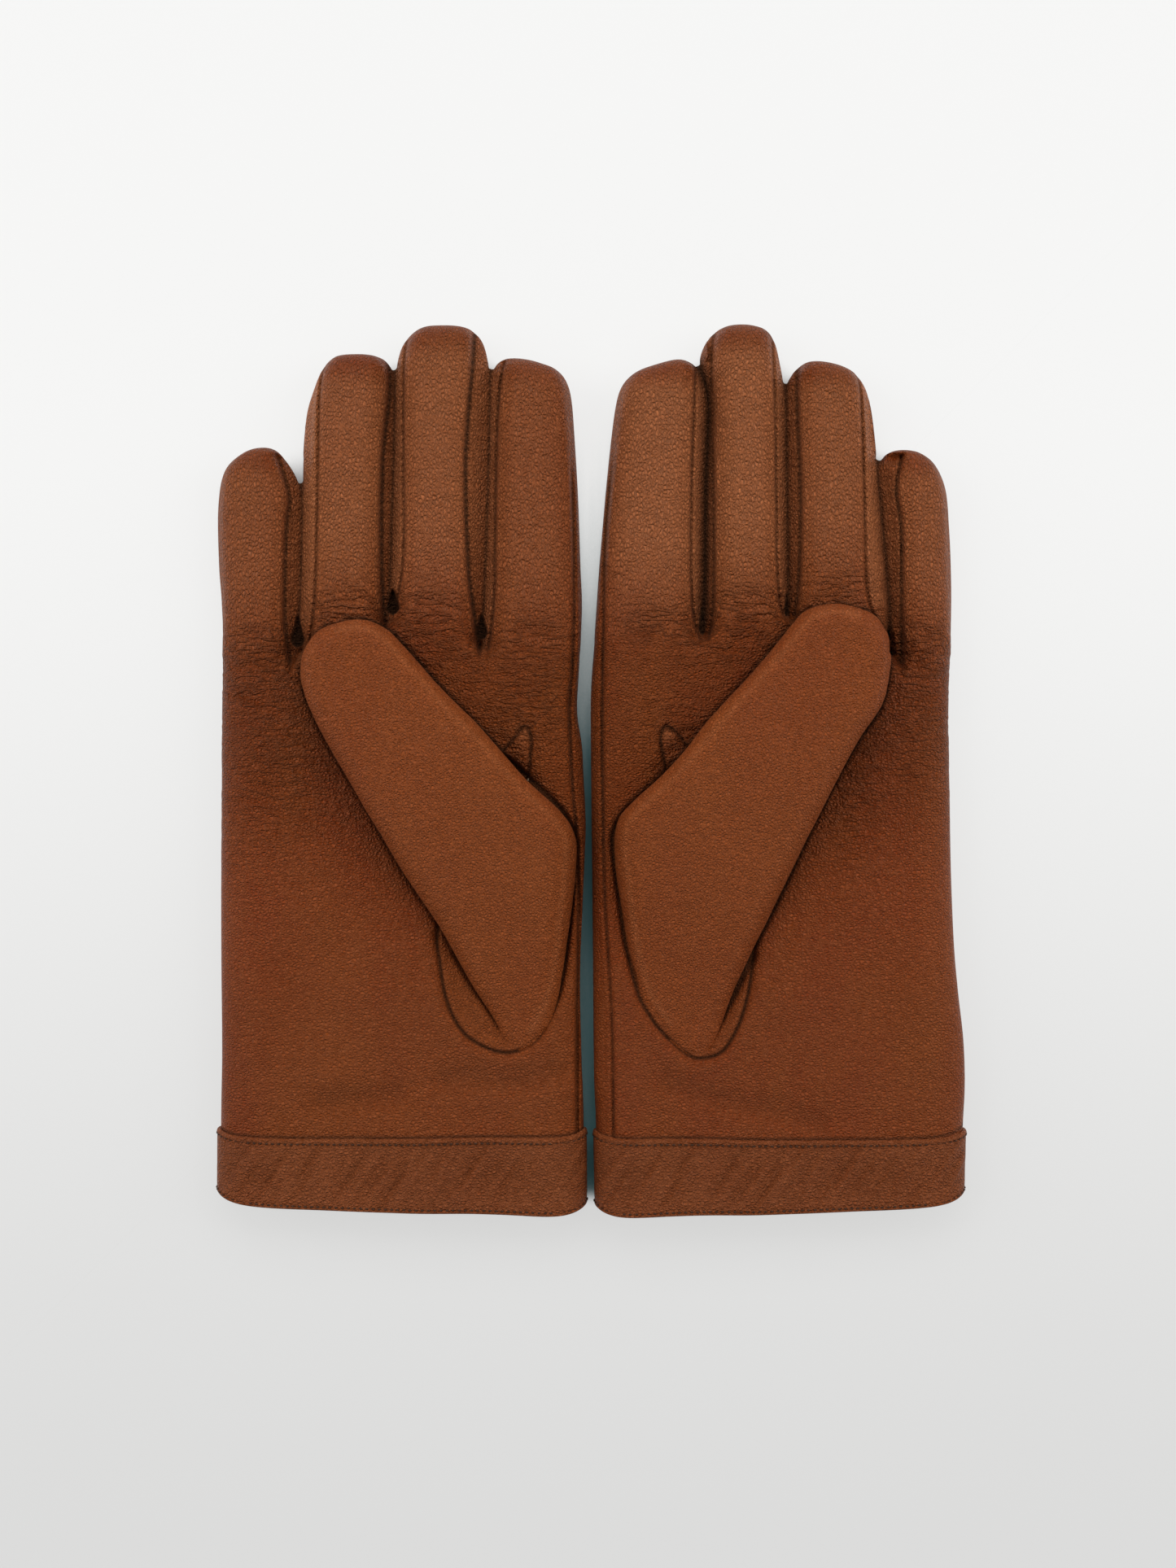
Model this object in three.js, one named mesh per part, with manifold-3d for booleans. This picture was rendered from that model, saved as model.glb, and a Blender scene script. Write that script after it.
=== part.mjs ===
// A pair of men's leather dress gloves lying palm up, side by side, thumbs folded over the palms.
// Millimetres. +X is across the pair, +Y towards the fingertips, +Z up from the table.
// Each glove is built in its own frame, where u runs across the hand from the little finger
// towards the thumb, and is then set down on its side of the pair.
import * as THREE from 'three';
import { mergeVertices } from 'three/addons/utils/BufferGeometryUtils.js';
import Module from 'manifold-3d';

const wasm = await Module();
wasm.setup();

// ---- what both gloves share ----
const GAP = 0.3; // clearance between neighbouring pieces
const LEATHER = 1.2; // thickness of the outer leather
const LINING = 1.0; // thickness of the knitted lining
const PALM_HEIGHT = 18; // height of the hand as it lies
const HAND_ROUND = 8; // rounding along the sides of the hand
const FINGER_ROUND = 6.5; // rounding along the sides of a finger
const TIP_RADIUS = 9.5; // rounding of a fingertip's corners, seen from above
const BAND_PROUD = 0.6; // how far the cuff band stands out from the hand
const BAND_INSIDE = 12; // how far the band turns up inside the mouth
const STITCH_EDGE = 1.6; // from the band's edges to the thread rows
const THREAD = 0.6; // thread width
const FAR = 200; // well beyond the glove, for cuts

// insets from the outer surface of the hand, going inwards
const TUCKED = LEATHER + GAP; // the hand leather where it runs under the cuff band
const HAND_LINING = TUCKED + LEATHER + GAP;
const TURNED = HAND_LINING + LINING + GAP; // the part of the band that turns inside
const FINGER_LINING = LEATHER + GAP;

// ---- what sets the two gloves apart ----
// lines run between the fingers from the fork to the fingertips, little finger side first;
// each is [u at the fork, y at the fork, u at the tips, y at the tips].
const RIGHT = {
  name: 'right',
  centre: -54.4,
  facing: 1,
  mouth: -126,
  bandTop: -103.6,
  littleEdge: [[-52, -FAR], [-52, -110], [-51.6, 0], [-52.6, 60], [-52.6, FAR]],
  thumbEdge: [[51.8, -FAR], [51.8, -110], [52.4, -15], [51.2, 35], [51.2, FAR]],
  lines: [
    [-52.6, 34, -52.8, 80],
    [-30.1, 34.4, -28, 103],
    [-4.4, 43.8, -2.1, 116],
    [22.9, 36.8, 25.2, 114],
    [51.1, 36, 48.6, 108],
  ],
  tips: { little: 93.7, ring: 120.4, middle: 128.5, index: 119.4 },
  hinges: { little: 36, ring: 45.5, middle: 45.5, index: 38.5 },
  thumb: { tip: [-12.1, 28, 15.5], heel: [26.6, -23.6, 22.8], foot: [29.2, -60.5, 18.3] },
  quirk: [[35.3, 13.6], [27.5, 5.2], [36, -2.2], [38.4, 9]],
};
const LEFT = {
  name: 'left',
  centre: 52.2,
  facing: -1,
  mouth: -126.4,
  bandTop: -104,
  littleEdge: [[-54.2, -FAR], [-54.2, -100], [-50.6, -20], [-51.5, 60], [-51.5, FAR]],
  thumbEdge: [[50.4, -FAR], [50.4, -100], [51.8, -20], [49.6, 35], [49.6, FAR]],
  lines: [
    [-51.6, 33, -50.1, 78],
    [-35.6, 32.8, -28.5, 100],
    [-4.6, 45.4, -3.4, 112],
    [20, 40.5, 19, 112],
    [49.4, 40, 45.2, 106],
  ],
  tips: { little: 93, ring: 118.3, middle: 128.8, index: 119 },
  hinges: { little: 34.5, ring: 50, middle: 47, index: 42 },
  thumb: { tip: [-18.2, 33.5, 14.8], heel: [24, -22, 22], foot: [25, -62, 18.5] },
  quirk: [[30.9, 13.6], [23.6, 6.4], [30.6, -2.4], [33.6, 9]],
};

const FINGERS = ['little', 'ring', 'middle', 'index'];
const FINGER_HEIGHT = { little: 15.5, ring: 17, middle: 17, index: 17 };

// ---- leather, lining and thread ----
const COLOURS = {
  palm: { color: 0x8e5332, roughness: 0.48, metalness: 0 },
  strip: { color: 0x93572f, roughness: 0.46, metalness: 0 },
  back: { color: 0x875031, roughness: 0.5, metalness: 0 },
  fourchette: { color: 0x7d4829, roughness: 0.52, metalness: 0 },
  thumb: { color: 0x9a6038, roughness: 0.44, metalness: 0 },
  quirk: { color: 0x80492b, roughness: 0.52, metalness: 0 },
  cuff: { color: 0x8c5434, roughness: 0.48, metalness: 0 },
  lining: { color: 0xb39a7e, roughness: 0.9, metalness: 0 },
  thread: { color: 0x5c3320, roughness: 0.7, metalness: 0 },
};

// ---- solids ----
function solidOf(geometry) {
  geometry.deleteAttribute('normal');
  geometry.deleteAttribute('uv');
  const merged = mergeVertices(geometry, 1e-4);
  const vertProperties = new Float32Array(merged.attributes.position.array);
  const triVerts = new Uint32Array(merged.index.array);
  return new wasm.Manifold(new wasm.Mesh({ numProp: 3, vertProperties, triVerts }));
}

function box(u, y, z) {
  const geometry = new THREE.BoxGeometry(u[1] - u[0], y[1] - y[0], z[1] - z[0]);
  geometry.translate((u[0] + u[1]) / 2, (y[0] + y[1]) / 2, (z[0] + z[1]) / 2);
  return solidOf(geometry);
}

// A flat outline given thickness, with its edges rounded over inside the outline.
function cushion(shape, low, high, round, steps = 3) {
  const geometry = new THREE.ExtrudeGeometry(shape, {
    depth: high - low - 2 * round,
    bevelEnabled: round > 0,
    bevelThickness: round,
    bevelSize: round,
    bevelOffset: -round,
    bevelSegments: steps,
    curveSegments: 2,
  });
  geometry.translate(0, 0, low + round);
  return solidOf(geometry);
}

function prism(points, low, high) {
  return cushion(new THREE.Shape(points.map(([u, y]) => new THREE.Vector2(u, y))), low, high, 0);
}

const acrossY = (low, high) => box([-FAR, FAR], [low, high], [-FAR, FAR]);

// The hand from its little finger edge to its thumb edge, much longer than the glove.
function hand(glove, inset, low = inset, high = PALM_HEIGHT - inset) {
  const little = glove.littleEdge.map(([u, y]) => [u + inset, y]);
  const thumb = glove.thumbEdge.map(([u, y]) => [u - inset, y]);
  const outline = [...thumb, ...little.reverse()];
  const shape = new THREE.Shape(outline.map(([u, y]) => new THREE.Vector2(u, y)));
  return cushion(shape, low, high, HAND_ROUND - Math.max(inset, 0));
}

const handLayer = (glove, outer, inner) => hand(glove, outer).subtract(hand(glove, inner));

const alongLine = ([u0, y0, u1, y1], y) => u0 + ((u1 - u0) * (y - y0)) / (y1 - y0);

// The ground the hand covers: up to each finger's knuckle line, slit down to the forks.
function handReach(glove, start) {
  const points = [[-FAR, start], [FAR, start]];
  for (let i = FINGERS.length - 1; i >= 0; i -= 1) {
    const knuckle = glove.hinges[FINGERS[i]] - GAP / 2;
    const inner = glove.lines[i + 1];
    const outer = glove.lines[i];
    const innerFork = [inner[0] - GAP, inner[1]];
    const outerFork = [outer[0] + GAP, outer[1]];
    if (i === FINGERS.length - 1) points.push([FAR, knuckle]);
    else points.push(innerFork, [alongLine(inner, knuckle) - GAP, knuckle]);
    if (i === 0) points.push([-FAR, knuckle]);
    else points.push([alongLine(outer, knuckle) + GAP, knuckle], outerFork);
  }
  return prism(points, -FAR, FAR);
}

// One finger between its two lines, with a rounded tip.
function finger(glove, name, inset) {
  const i = FINGERS.indexOf(name);
  const clear = inset + GAP;
  const edge = (line, y, way) => alongLine(line, y) + way * clear;
  const start = glove.hinges[name] - 10;
  const tip = glove.tips[name] - inset;
  const cornerY = tip - TIP_RADIUS + inset;
  const left = edge(glove.lines[i], cornerY, 1);
  const right = edge(glove.lines[i + 1], cornerY, -1);
  const radius = Math.min(TIP_RADIUS - inset, 0.45 * (right - left));
  const shape = new THREE.Shape();
  shape.moveTo(edge(glove.lines[i], start, 1), start);
  shape.lineTo(edge(glove.lines[i + 1], start, -1), start);
  shape.absarc(right - radius, tip - radius, radius, 0, Math.PI / 2, false);
  shape.absarc(left + radius, tip - radius, radius, Math.PI / 2, Math.PI, false);
  return cushion(shape, inset, FINGER_HEIGHT[name] - inset, FINGER_ROUND - inset);
}

// The outline round a chain of circles, each [u, y, radius]: its convex hull.
function roundChain(circles) {
  const spokes = 16;
  const points = [];
  for (const [u, y, radius] of circles) {
    for (let i = 0; i < spokes; i += 1) {
      const angle = (2 * Math.PI * i) / spokes;
      points.push([u + radius * Math.cos(angle), y + radius * Math.sin(angle)]);
    }
  }
  points.sort((a, b) => a[0] - b[0] || a[1] - b[1]);
  const turn = (o, a, b) => (a[0] - o[0]) * (b[1] - o[1]) - (a[1] - o[1]) * (b[0] - o[0]);
  const half = (list) => {
    const chain = [];
    for (const p of list) {
      while (chain.length > 1 && turn(chain.at(-2), chain.at(-1), p) <= 0) chain.pop();
      chain.push(p);
    }
    return chain.slice(0, -1);
  };
  const hull = [...half(points), ...half(points.toReversed())];
  return new THREE.Shape(hull.map(([u, y]) => new THREE.Vector2(u, y)));
}

const shrunk = (circles, inset) => circles.map(([u, y, r]) => [u, y, r - inset]);

// ---- the thumb, lying on the palm over the hole it grows from ----
const THUMB_FLOOR = PALM_HEIGHT + GAP;
const THUMB_TOP = 32;
const THUMB_ROUND = 5.5;
const THUMB_FALL_Y = [-24, -82]; // the thumb comes down to the palm between these
const THUMB_FALL_U = [22, 50]; // and towards the index finger's edge of the hand
const THUMB_EDGE_HEIGHT = 3; // what is left of it above the palm there

// A half space under a slope that falls along one axis, moved down by inset.
function underSlope(axis, [from, to], inset) {
  const fall = THUMB_TOP - THUMB_FLOOR - THUMB_EDGE_HEIGHT;
  const run = to - from;
  const angle = Math.atan2(fall, Math.abs(run));
  const geometry = new THREE.BoxGeometry(2 * FAR, 2 * FAR, FAR);
  geometry.translate(0, 0, -FAR / 2 - inset);
  if (axis === 'y') geometry.rotateX(angle);
  else geometry.rotateY(angle);
  geometry.translate(axis === 'y' ? 0 : from, axis === 'y' ? from : 0, THUMB_TOP);
  return solidOf(geometry);
}

function thumb(glove, inset) {
  const { tip, heel, foot } = glove.thumb;
  const shape = roundChain(shrunk([tip, heel, foot], inset));
  const low = THUMB_FLOOR + inset;
  const whole = cushion(shape, low, THUMB_TOP - inset, THUMB_ROUND - inset);
  const down = whole.intersect(underSlope('y', THUMB_FALL_Y, inset));
  return down.intersect(underSlope('u', THUMB_FALL_U, inset));
}

// The hole in the palm that the thumb opens into.
function thumbHole(glove, inset) {
  const { heel, foot } = glove.thumb;
  const top = [foot[0] + 3, heel[1] + 12, 11 - inset];
  const bottom = [foot[0], foot[1], foot[2] - 4 - inset];
  return cushion(roundChain([top, bottom]), PALM_HEIGHT / 2, THUMB_FLOOR + 4, 0);
}

// ---- the pieces of one glove ----
function makeHand(glove) {
  const { mouth, bandTop } = glove;
  const start = mouth + LEATHER + GAP;
  const underBand = bandTop + GAP;
  const reach = handReach(glove, start);
  const hole = thumbHole(glove, 0);
  const quirkCut = prism(glove.quirk, PALM_HEIGHT / 2, FAR);
  const outerSeam = box([0, FAR], [-FAR, FAR], [PALM_HEIGHT * 0.66, PALM_HEIGHT * 0.66 + GAP]);

  const open = handLayer(glove, 0, LEATHER).intersect(acrossY(underBand, FAR));
  const step = handLayer(glove, 0, TUCKED + LEATHER);
  const shoulder = step.intersect(acrossY(underBand, underBand + LEATHER));
  const tucked = handLayer(glove, TUCKED, TUCKED + LEATHER);
  const under = tucked.intersect(acrossY(start, underBand + LEATHER));
  const whole = open.add(shoulder).add(under).intersect(reach);
  const trank = whole.subtract(hole).subtract(quirkCut).subtract(outerSeam);

  const inner = handLayer(glove, HAND_LINING, HAND_LINING + LINING).intersect(reach);
  const lining = inner.subtract(hole).subtract(quirkCut);

  const quirkPlate = prism(glove.quirk.map(towards(glove.quirk, GAP)), PALM_HEIGHT / 2, FAR);
  const quirk = quirkPlate.intersect(handLayer(glove, 0, LEATHER));
  return { trank, lining, quirk };
}

// Moves a corner of an outline towards the outline's middle by a distance.
function towards(points, distance) {
  const middle = points.reduce(([a, b], [u, y]) => [a + u, b + y], [0, 0]);
  const [cu, cy] = middle.map((sum) => sum / points.length);
  return ([u, y]) => {
    const away = Math.hypot(cu - u, cy - y);
    const share = (2 * distance) / away;
    return [u + (cu - u) * share, y + (cy - y) * share];
  };
}

// The band folds over the mouth: an outer wall, the turned edge and an inner wall.
function makeCuff(glove) {
  const { mouth, bandTop } = glove;
  const skin = hand(glove, -BAND_PROUD, 0);
  const outer = skin.subtract(hand(glove, LEATHER)).intersect(acrossY(mouth, bandTop));
  const turned = TURNED + LINING;
  const lip = skin.subtract(hand(glove, turned)).intersect(acrossY(mouth, mouth + LEATHER));
  const inside = handLayer(glove, TURNED, turned);
  const inner = inside.intersect(acrossY(mouth, mouth + BAND_INSIDE));
  const rows = [bandTop - STITCH_EDGE, mouth + STITCH_EDGE];
  let band = outer.add(lip).add(inner);
  const threads = [];
  for (const y of rows) {
    const groove = hand(glove, -1, -1).subtract(hand(glove, 0.1, 0.9));
    band = band.subtract(groove.intersect(acrossY(y - THREAD / 2 - GAP, y + THREAD / 2 + GAP)));
    const ring = hand(glove, -BAND_PROUD - 0.1, 0.05).subtract(hand(glove, -0.2, 0.6));
    threads.push(ring.intersect(acrossY(y - THREAD / 2, y + THREAD / 2)));
  }
  return { band, threads };
}

// A finger's leather is cut into the strips the glover sews: palm side, back, and side walls.
function makeFinger(glove, name) {
  const height = FINGER_HEIGHT[name];
  const base = glove.hinges[name] + GAP / 2;
  const tip = glove.tips[name];
  const i = FINGERS.indexOf(name);
  const middle = (alongLine(glove.lines[i], base) + alongLine(glove.lines[i + 1], base)) / 2;
  const beyond = acrossY(base, FAR);
  const leather = finger(glove, name, 0).subtract(finger(glove, name, LEATHER)).intersect(beyond);
  const inner = finger(glove, name, FINGER_LINING + LINING);
  const lining = finger(glove, name, FINGER_LINING).subtract(inner).intersect(beyond);

  const wall = [height * 0.28, height * 0.72];
  const wallEnd = tip - TIP_RADIUS + 2;
  const sides = { thumbside: [middle, FAR], outer: [-FAR, middle] };
  const hasWall = { thumbside: name !== 'index', outer: name !== 'little' };
  const pieces = {};
  let strips = leather;
  for (const [side, reach] of Object.entries(sides)) {
    if (!hasWall[side]) continue;
    pieces[`fourchette_${side}`] = leather.intersect(box(reach, [base, wallEnd], wall));
    const room = [wall[0] - GAP, wall[1] + GAP];
    strips = strips.subtract(box(reach, [0, wallEnd + GAP], room));
  }
  const seam = height * 0.66;
  const slitReach = name === 'little' ? [middle, FAR] : [-FAR, FAR];
  strips = strips.subtract(box(slitReach, [0, FAR], [seam, seam + GAP]));
  if (name === 'little') return { strip: strips, ...pieces, lining };
  const palmStrip = strips.intersect(box([-FAR, FAR], [0, FAR], [seam, FAR]));
  const backStrip = strips.intersect(box([-FAR, FAR], [0, FAR], [-FAR, seam]));
  return { palm_strip: palmStrip, back_strip: backStrip, ...pieces, lining };
}

function makeThumb(glove) {
  const opening = thumbHole(glove, 1);
  const shell = thumb(glove, 0).subtract(thumb(glove, LEATHER)).subtract(opening);
  const inner = thumb(glove, FINGER_LINING + LINING);
  const lining = thumb(glove, FINGER_LINING).subtract(inner).subtract(opening);
  return { shell, lining };
}

// ---- putting the pair together ----
const SLOTS = {
  palm_strip: 'strip',
  strip: 'strip',
  back_strip: 'back',
  fourchette_thumbside: 'fourchette',
  fourchette_outer: 'fourchette',
  lining: 'lining',
};

function meshOf(glove, name, solid, look) {
  const turned = glove.facing < 0 ? solid.mirror([1, 0, 0]) : solid;
  const { vertProperties, triVerts } = turned.translate([glove.centre, 0, 0]).getMesh();
  const geometry = new THREE.BufferGeometry();
  geometry.setAttribute('position', new THREE.BufferAttribute(vertProperties, 3));
  geometry.setIndex(new THREE.BufferAttribute(triVerts, 1));
  geometry.computeVertexNormals();
  const mesh = new THREE.Mesh(geometry, new THREE.MeshStandardMaterial(COLOURS[look]));
  mesh.name = `${glove.name}_${name}`;
  return mesh;
}

function makeGlove(glove) {
  const meshes = [];
  const put = (name, solid, look) => meshes.push(meshOf(glove, name, solid, look));
  const palm = makeHand(glove);
  put('hand_trank', palm.trank, 'palm');
  put('hand_lining', palm.lining, 'lining');
  put('thumb_quirk', palm.quirk, 'quirk');
  const cuff = makeCuff(glove);
  put('cuff_band', cuff.band, 'cuff');
  put('cuff_upper_thread', cuff.threads[0], 'thread');
  put('cuff_hem_thread', cuff.threads[1], 'thread');
  for (const name of FINGERS) {
    for (const [piece, solid] of Object.entries(makeFinger(glove, name))) {
      put(`${name}_${piece}`, solid, SLOTS[piece]);
    }
  }
  const { shell, lining } = makeThumb(glove);
  put('thumb_shell', shell, 'thumb');
  put('thumb_lining', lining, 'lining');
  return meshes;
}

const gloves = new THREE.Group();
gloves.name = 'leather_gloves';
for (const glove of [RIGHT, LEFT]) gloves.add(...makeGlove(glove));

// The frame's origin is under the middle of the pair.
const extent = new THREE.Box3().setFromObject(gloves);
const middle = extent.getCenter(new THREE.Vector3());
for (const mesh of gloves.children) mesh.geometry.translate(-middle.x, -middle.y, 0);

export default gloves;
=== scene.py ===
"""The looks of a pair of leather dress gloves lying palm up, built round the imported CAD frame.

Leather shapes come from one smooth height profile for each glove, turned into a mesh and cut along its seams.
Lengths are in millimetres inside the script and go to metres as a mesh is made.
In a glove's own frame u runs across the hand from the little finger towards the thumb, and y towards
the tips.
"""

import math

import bpy
import numpy as np
import openvdb
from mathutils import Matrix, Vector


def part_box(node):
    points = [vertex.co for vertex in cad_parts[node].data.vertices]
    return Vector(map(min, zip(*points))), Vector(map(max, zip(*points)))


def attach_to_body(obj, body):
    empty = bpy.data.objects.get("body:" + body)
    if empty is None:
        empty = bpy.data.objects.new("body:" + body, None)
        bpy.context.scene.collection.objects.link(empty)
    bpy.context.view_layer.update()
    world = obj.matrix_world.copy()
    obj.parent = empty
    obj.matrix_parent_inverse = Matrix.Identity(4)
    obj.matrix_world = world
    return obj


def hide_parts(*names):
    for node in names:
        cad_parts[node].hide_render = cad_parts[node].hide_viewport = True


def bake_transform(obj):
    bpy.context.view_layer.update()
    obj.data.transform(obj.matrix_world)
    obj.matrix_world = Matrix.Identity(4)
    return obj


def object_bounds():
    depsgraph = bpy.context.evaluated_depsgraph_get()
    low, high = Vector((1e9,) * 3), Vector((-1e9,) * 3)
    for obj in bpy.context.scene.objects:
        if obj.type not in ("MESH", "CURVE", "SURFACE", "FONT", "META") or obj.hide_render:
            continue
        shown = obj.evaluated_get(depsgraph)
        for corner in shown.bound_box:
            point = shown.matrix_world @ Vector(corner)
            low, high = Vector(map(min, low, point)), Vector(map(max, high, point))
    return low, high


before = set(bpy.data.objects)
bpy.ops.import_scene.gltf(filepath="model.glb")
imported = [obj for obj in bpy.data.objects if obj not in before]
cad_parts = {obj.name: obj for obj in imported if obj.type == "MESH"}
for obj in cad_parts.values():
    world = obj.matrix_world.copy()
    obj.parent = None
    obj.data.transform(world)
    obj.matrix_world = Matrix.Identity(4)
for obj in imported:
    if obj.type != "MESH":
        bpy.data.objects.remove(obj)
CAD_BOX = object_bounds()

MM = 0.001
CELL = 0.3  # spacing of the plan grids
VOXEL = 0.5  # spacing of the leather's vertices
POWER = 2.7  # how square the leather's cross-sections are
PALM_T = 18.0  # thickness of the hand as it lies
CUFF_T = 15.6  # and at the cuff
MOUTH_LIFT = 1.5  # how far the cuff's mouth draws up as it lies
STITCH_IN = (1.4, 1.2)  # the cuff's rows of stitches, in from its top and from its mouth
FINGER_T = {"little": 15.2, "ring": 16.6, "middle": 16.8, "index": 16.8}
FINGERS = ["little", "ring", "middle", "index"]
FINGER_SLOPE = 9.5  # how far in from its outline a finger goes on rising
SNUG = 0.3  # how far the fingers' sides press past their outlines against each other
PRESSED = 1.0  # and how much further where they bulge into one another
BEND = 18.0  # a length of leather past a finger's root
PUCKER = 2.1  # spacing of the puckers along a finger's seam
LINING_IN = 2.0  # how far inside the leather's outside the linings lie
LINING_STEP = 1.5  # spacing of their vertices
THUMB_POWER = 2.9  # how square the thumb's cross-sections are
# (how far down the thumb from its tip, how high its top stands above the palm there)
THUMB_RISE = [
    (-30, 10.4), (-8, 11.6), (15, 12.4), (40, 12), (65, 9.4),
    (88, 5.2), (101, 2.2), (109, 0.7), (114, 0.0), (130, -0.8),
]
THUMB_SPACE = ((-40, -84, 8), (56, 54, 36))  # corners of the space that a thumb fills
STITCH_PITCH = 1.75  # spacing of the cuff's stitches, about
STITCH_LONG = 0.95  # length of one
THREAD_R = 0.3  # radius of the thread

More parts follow.
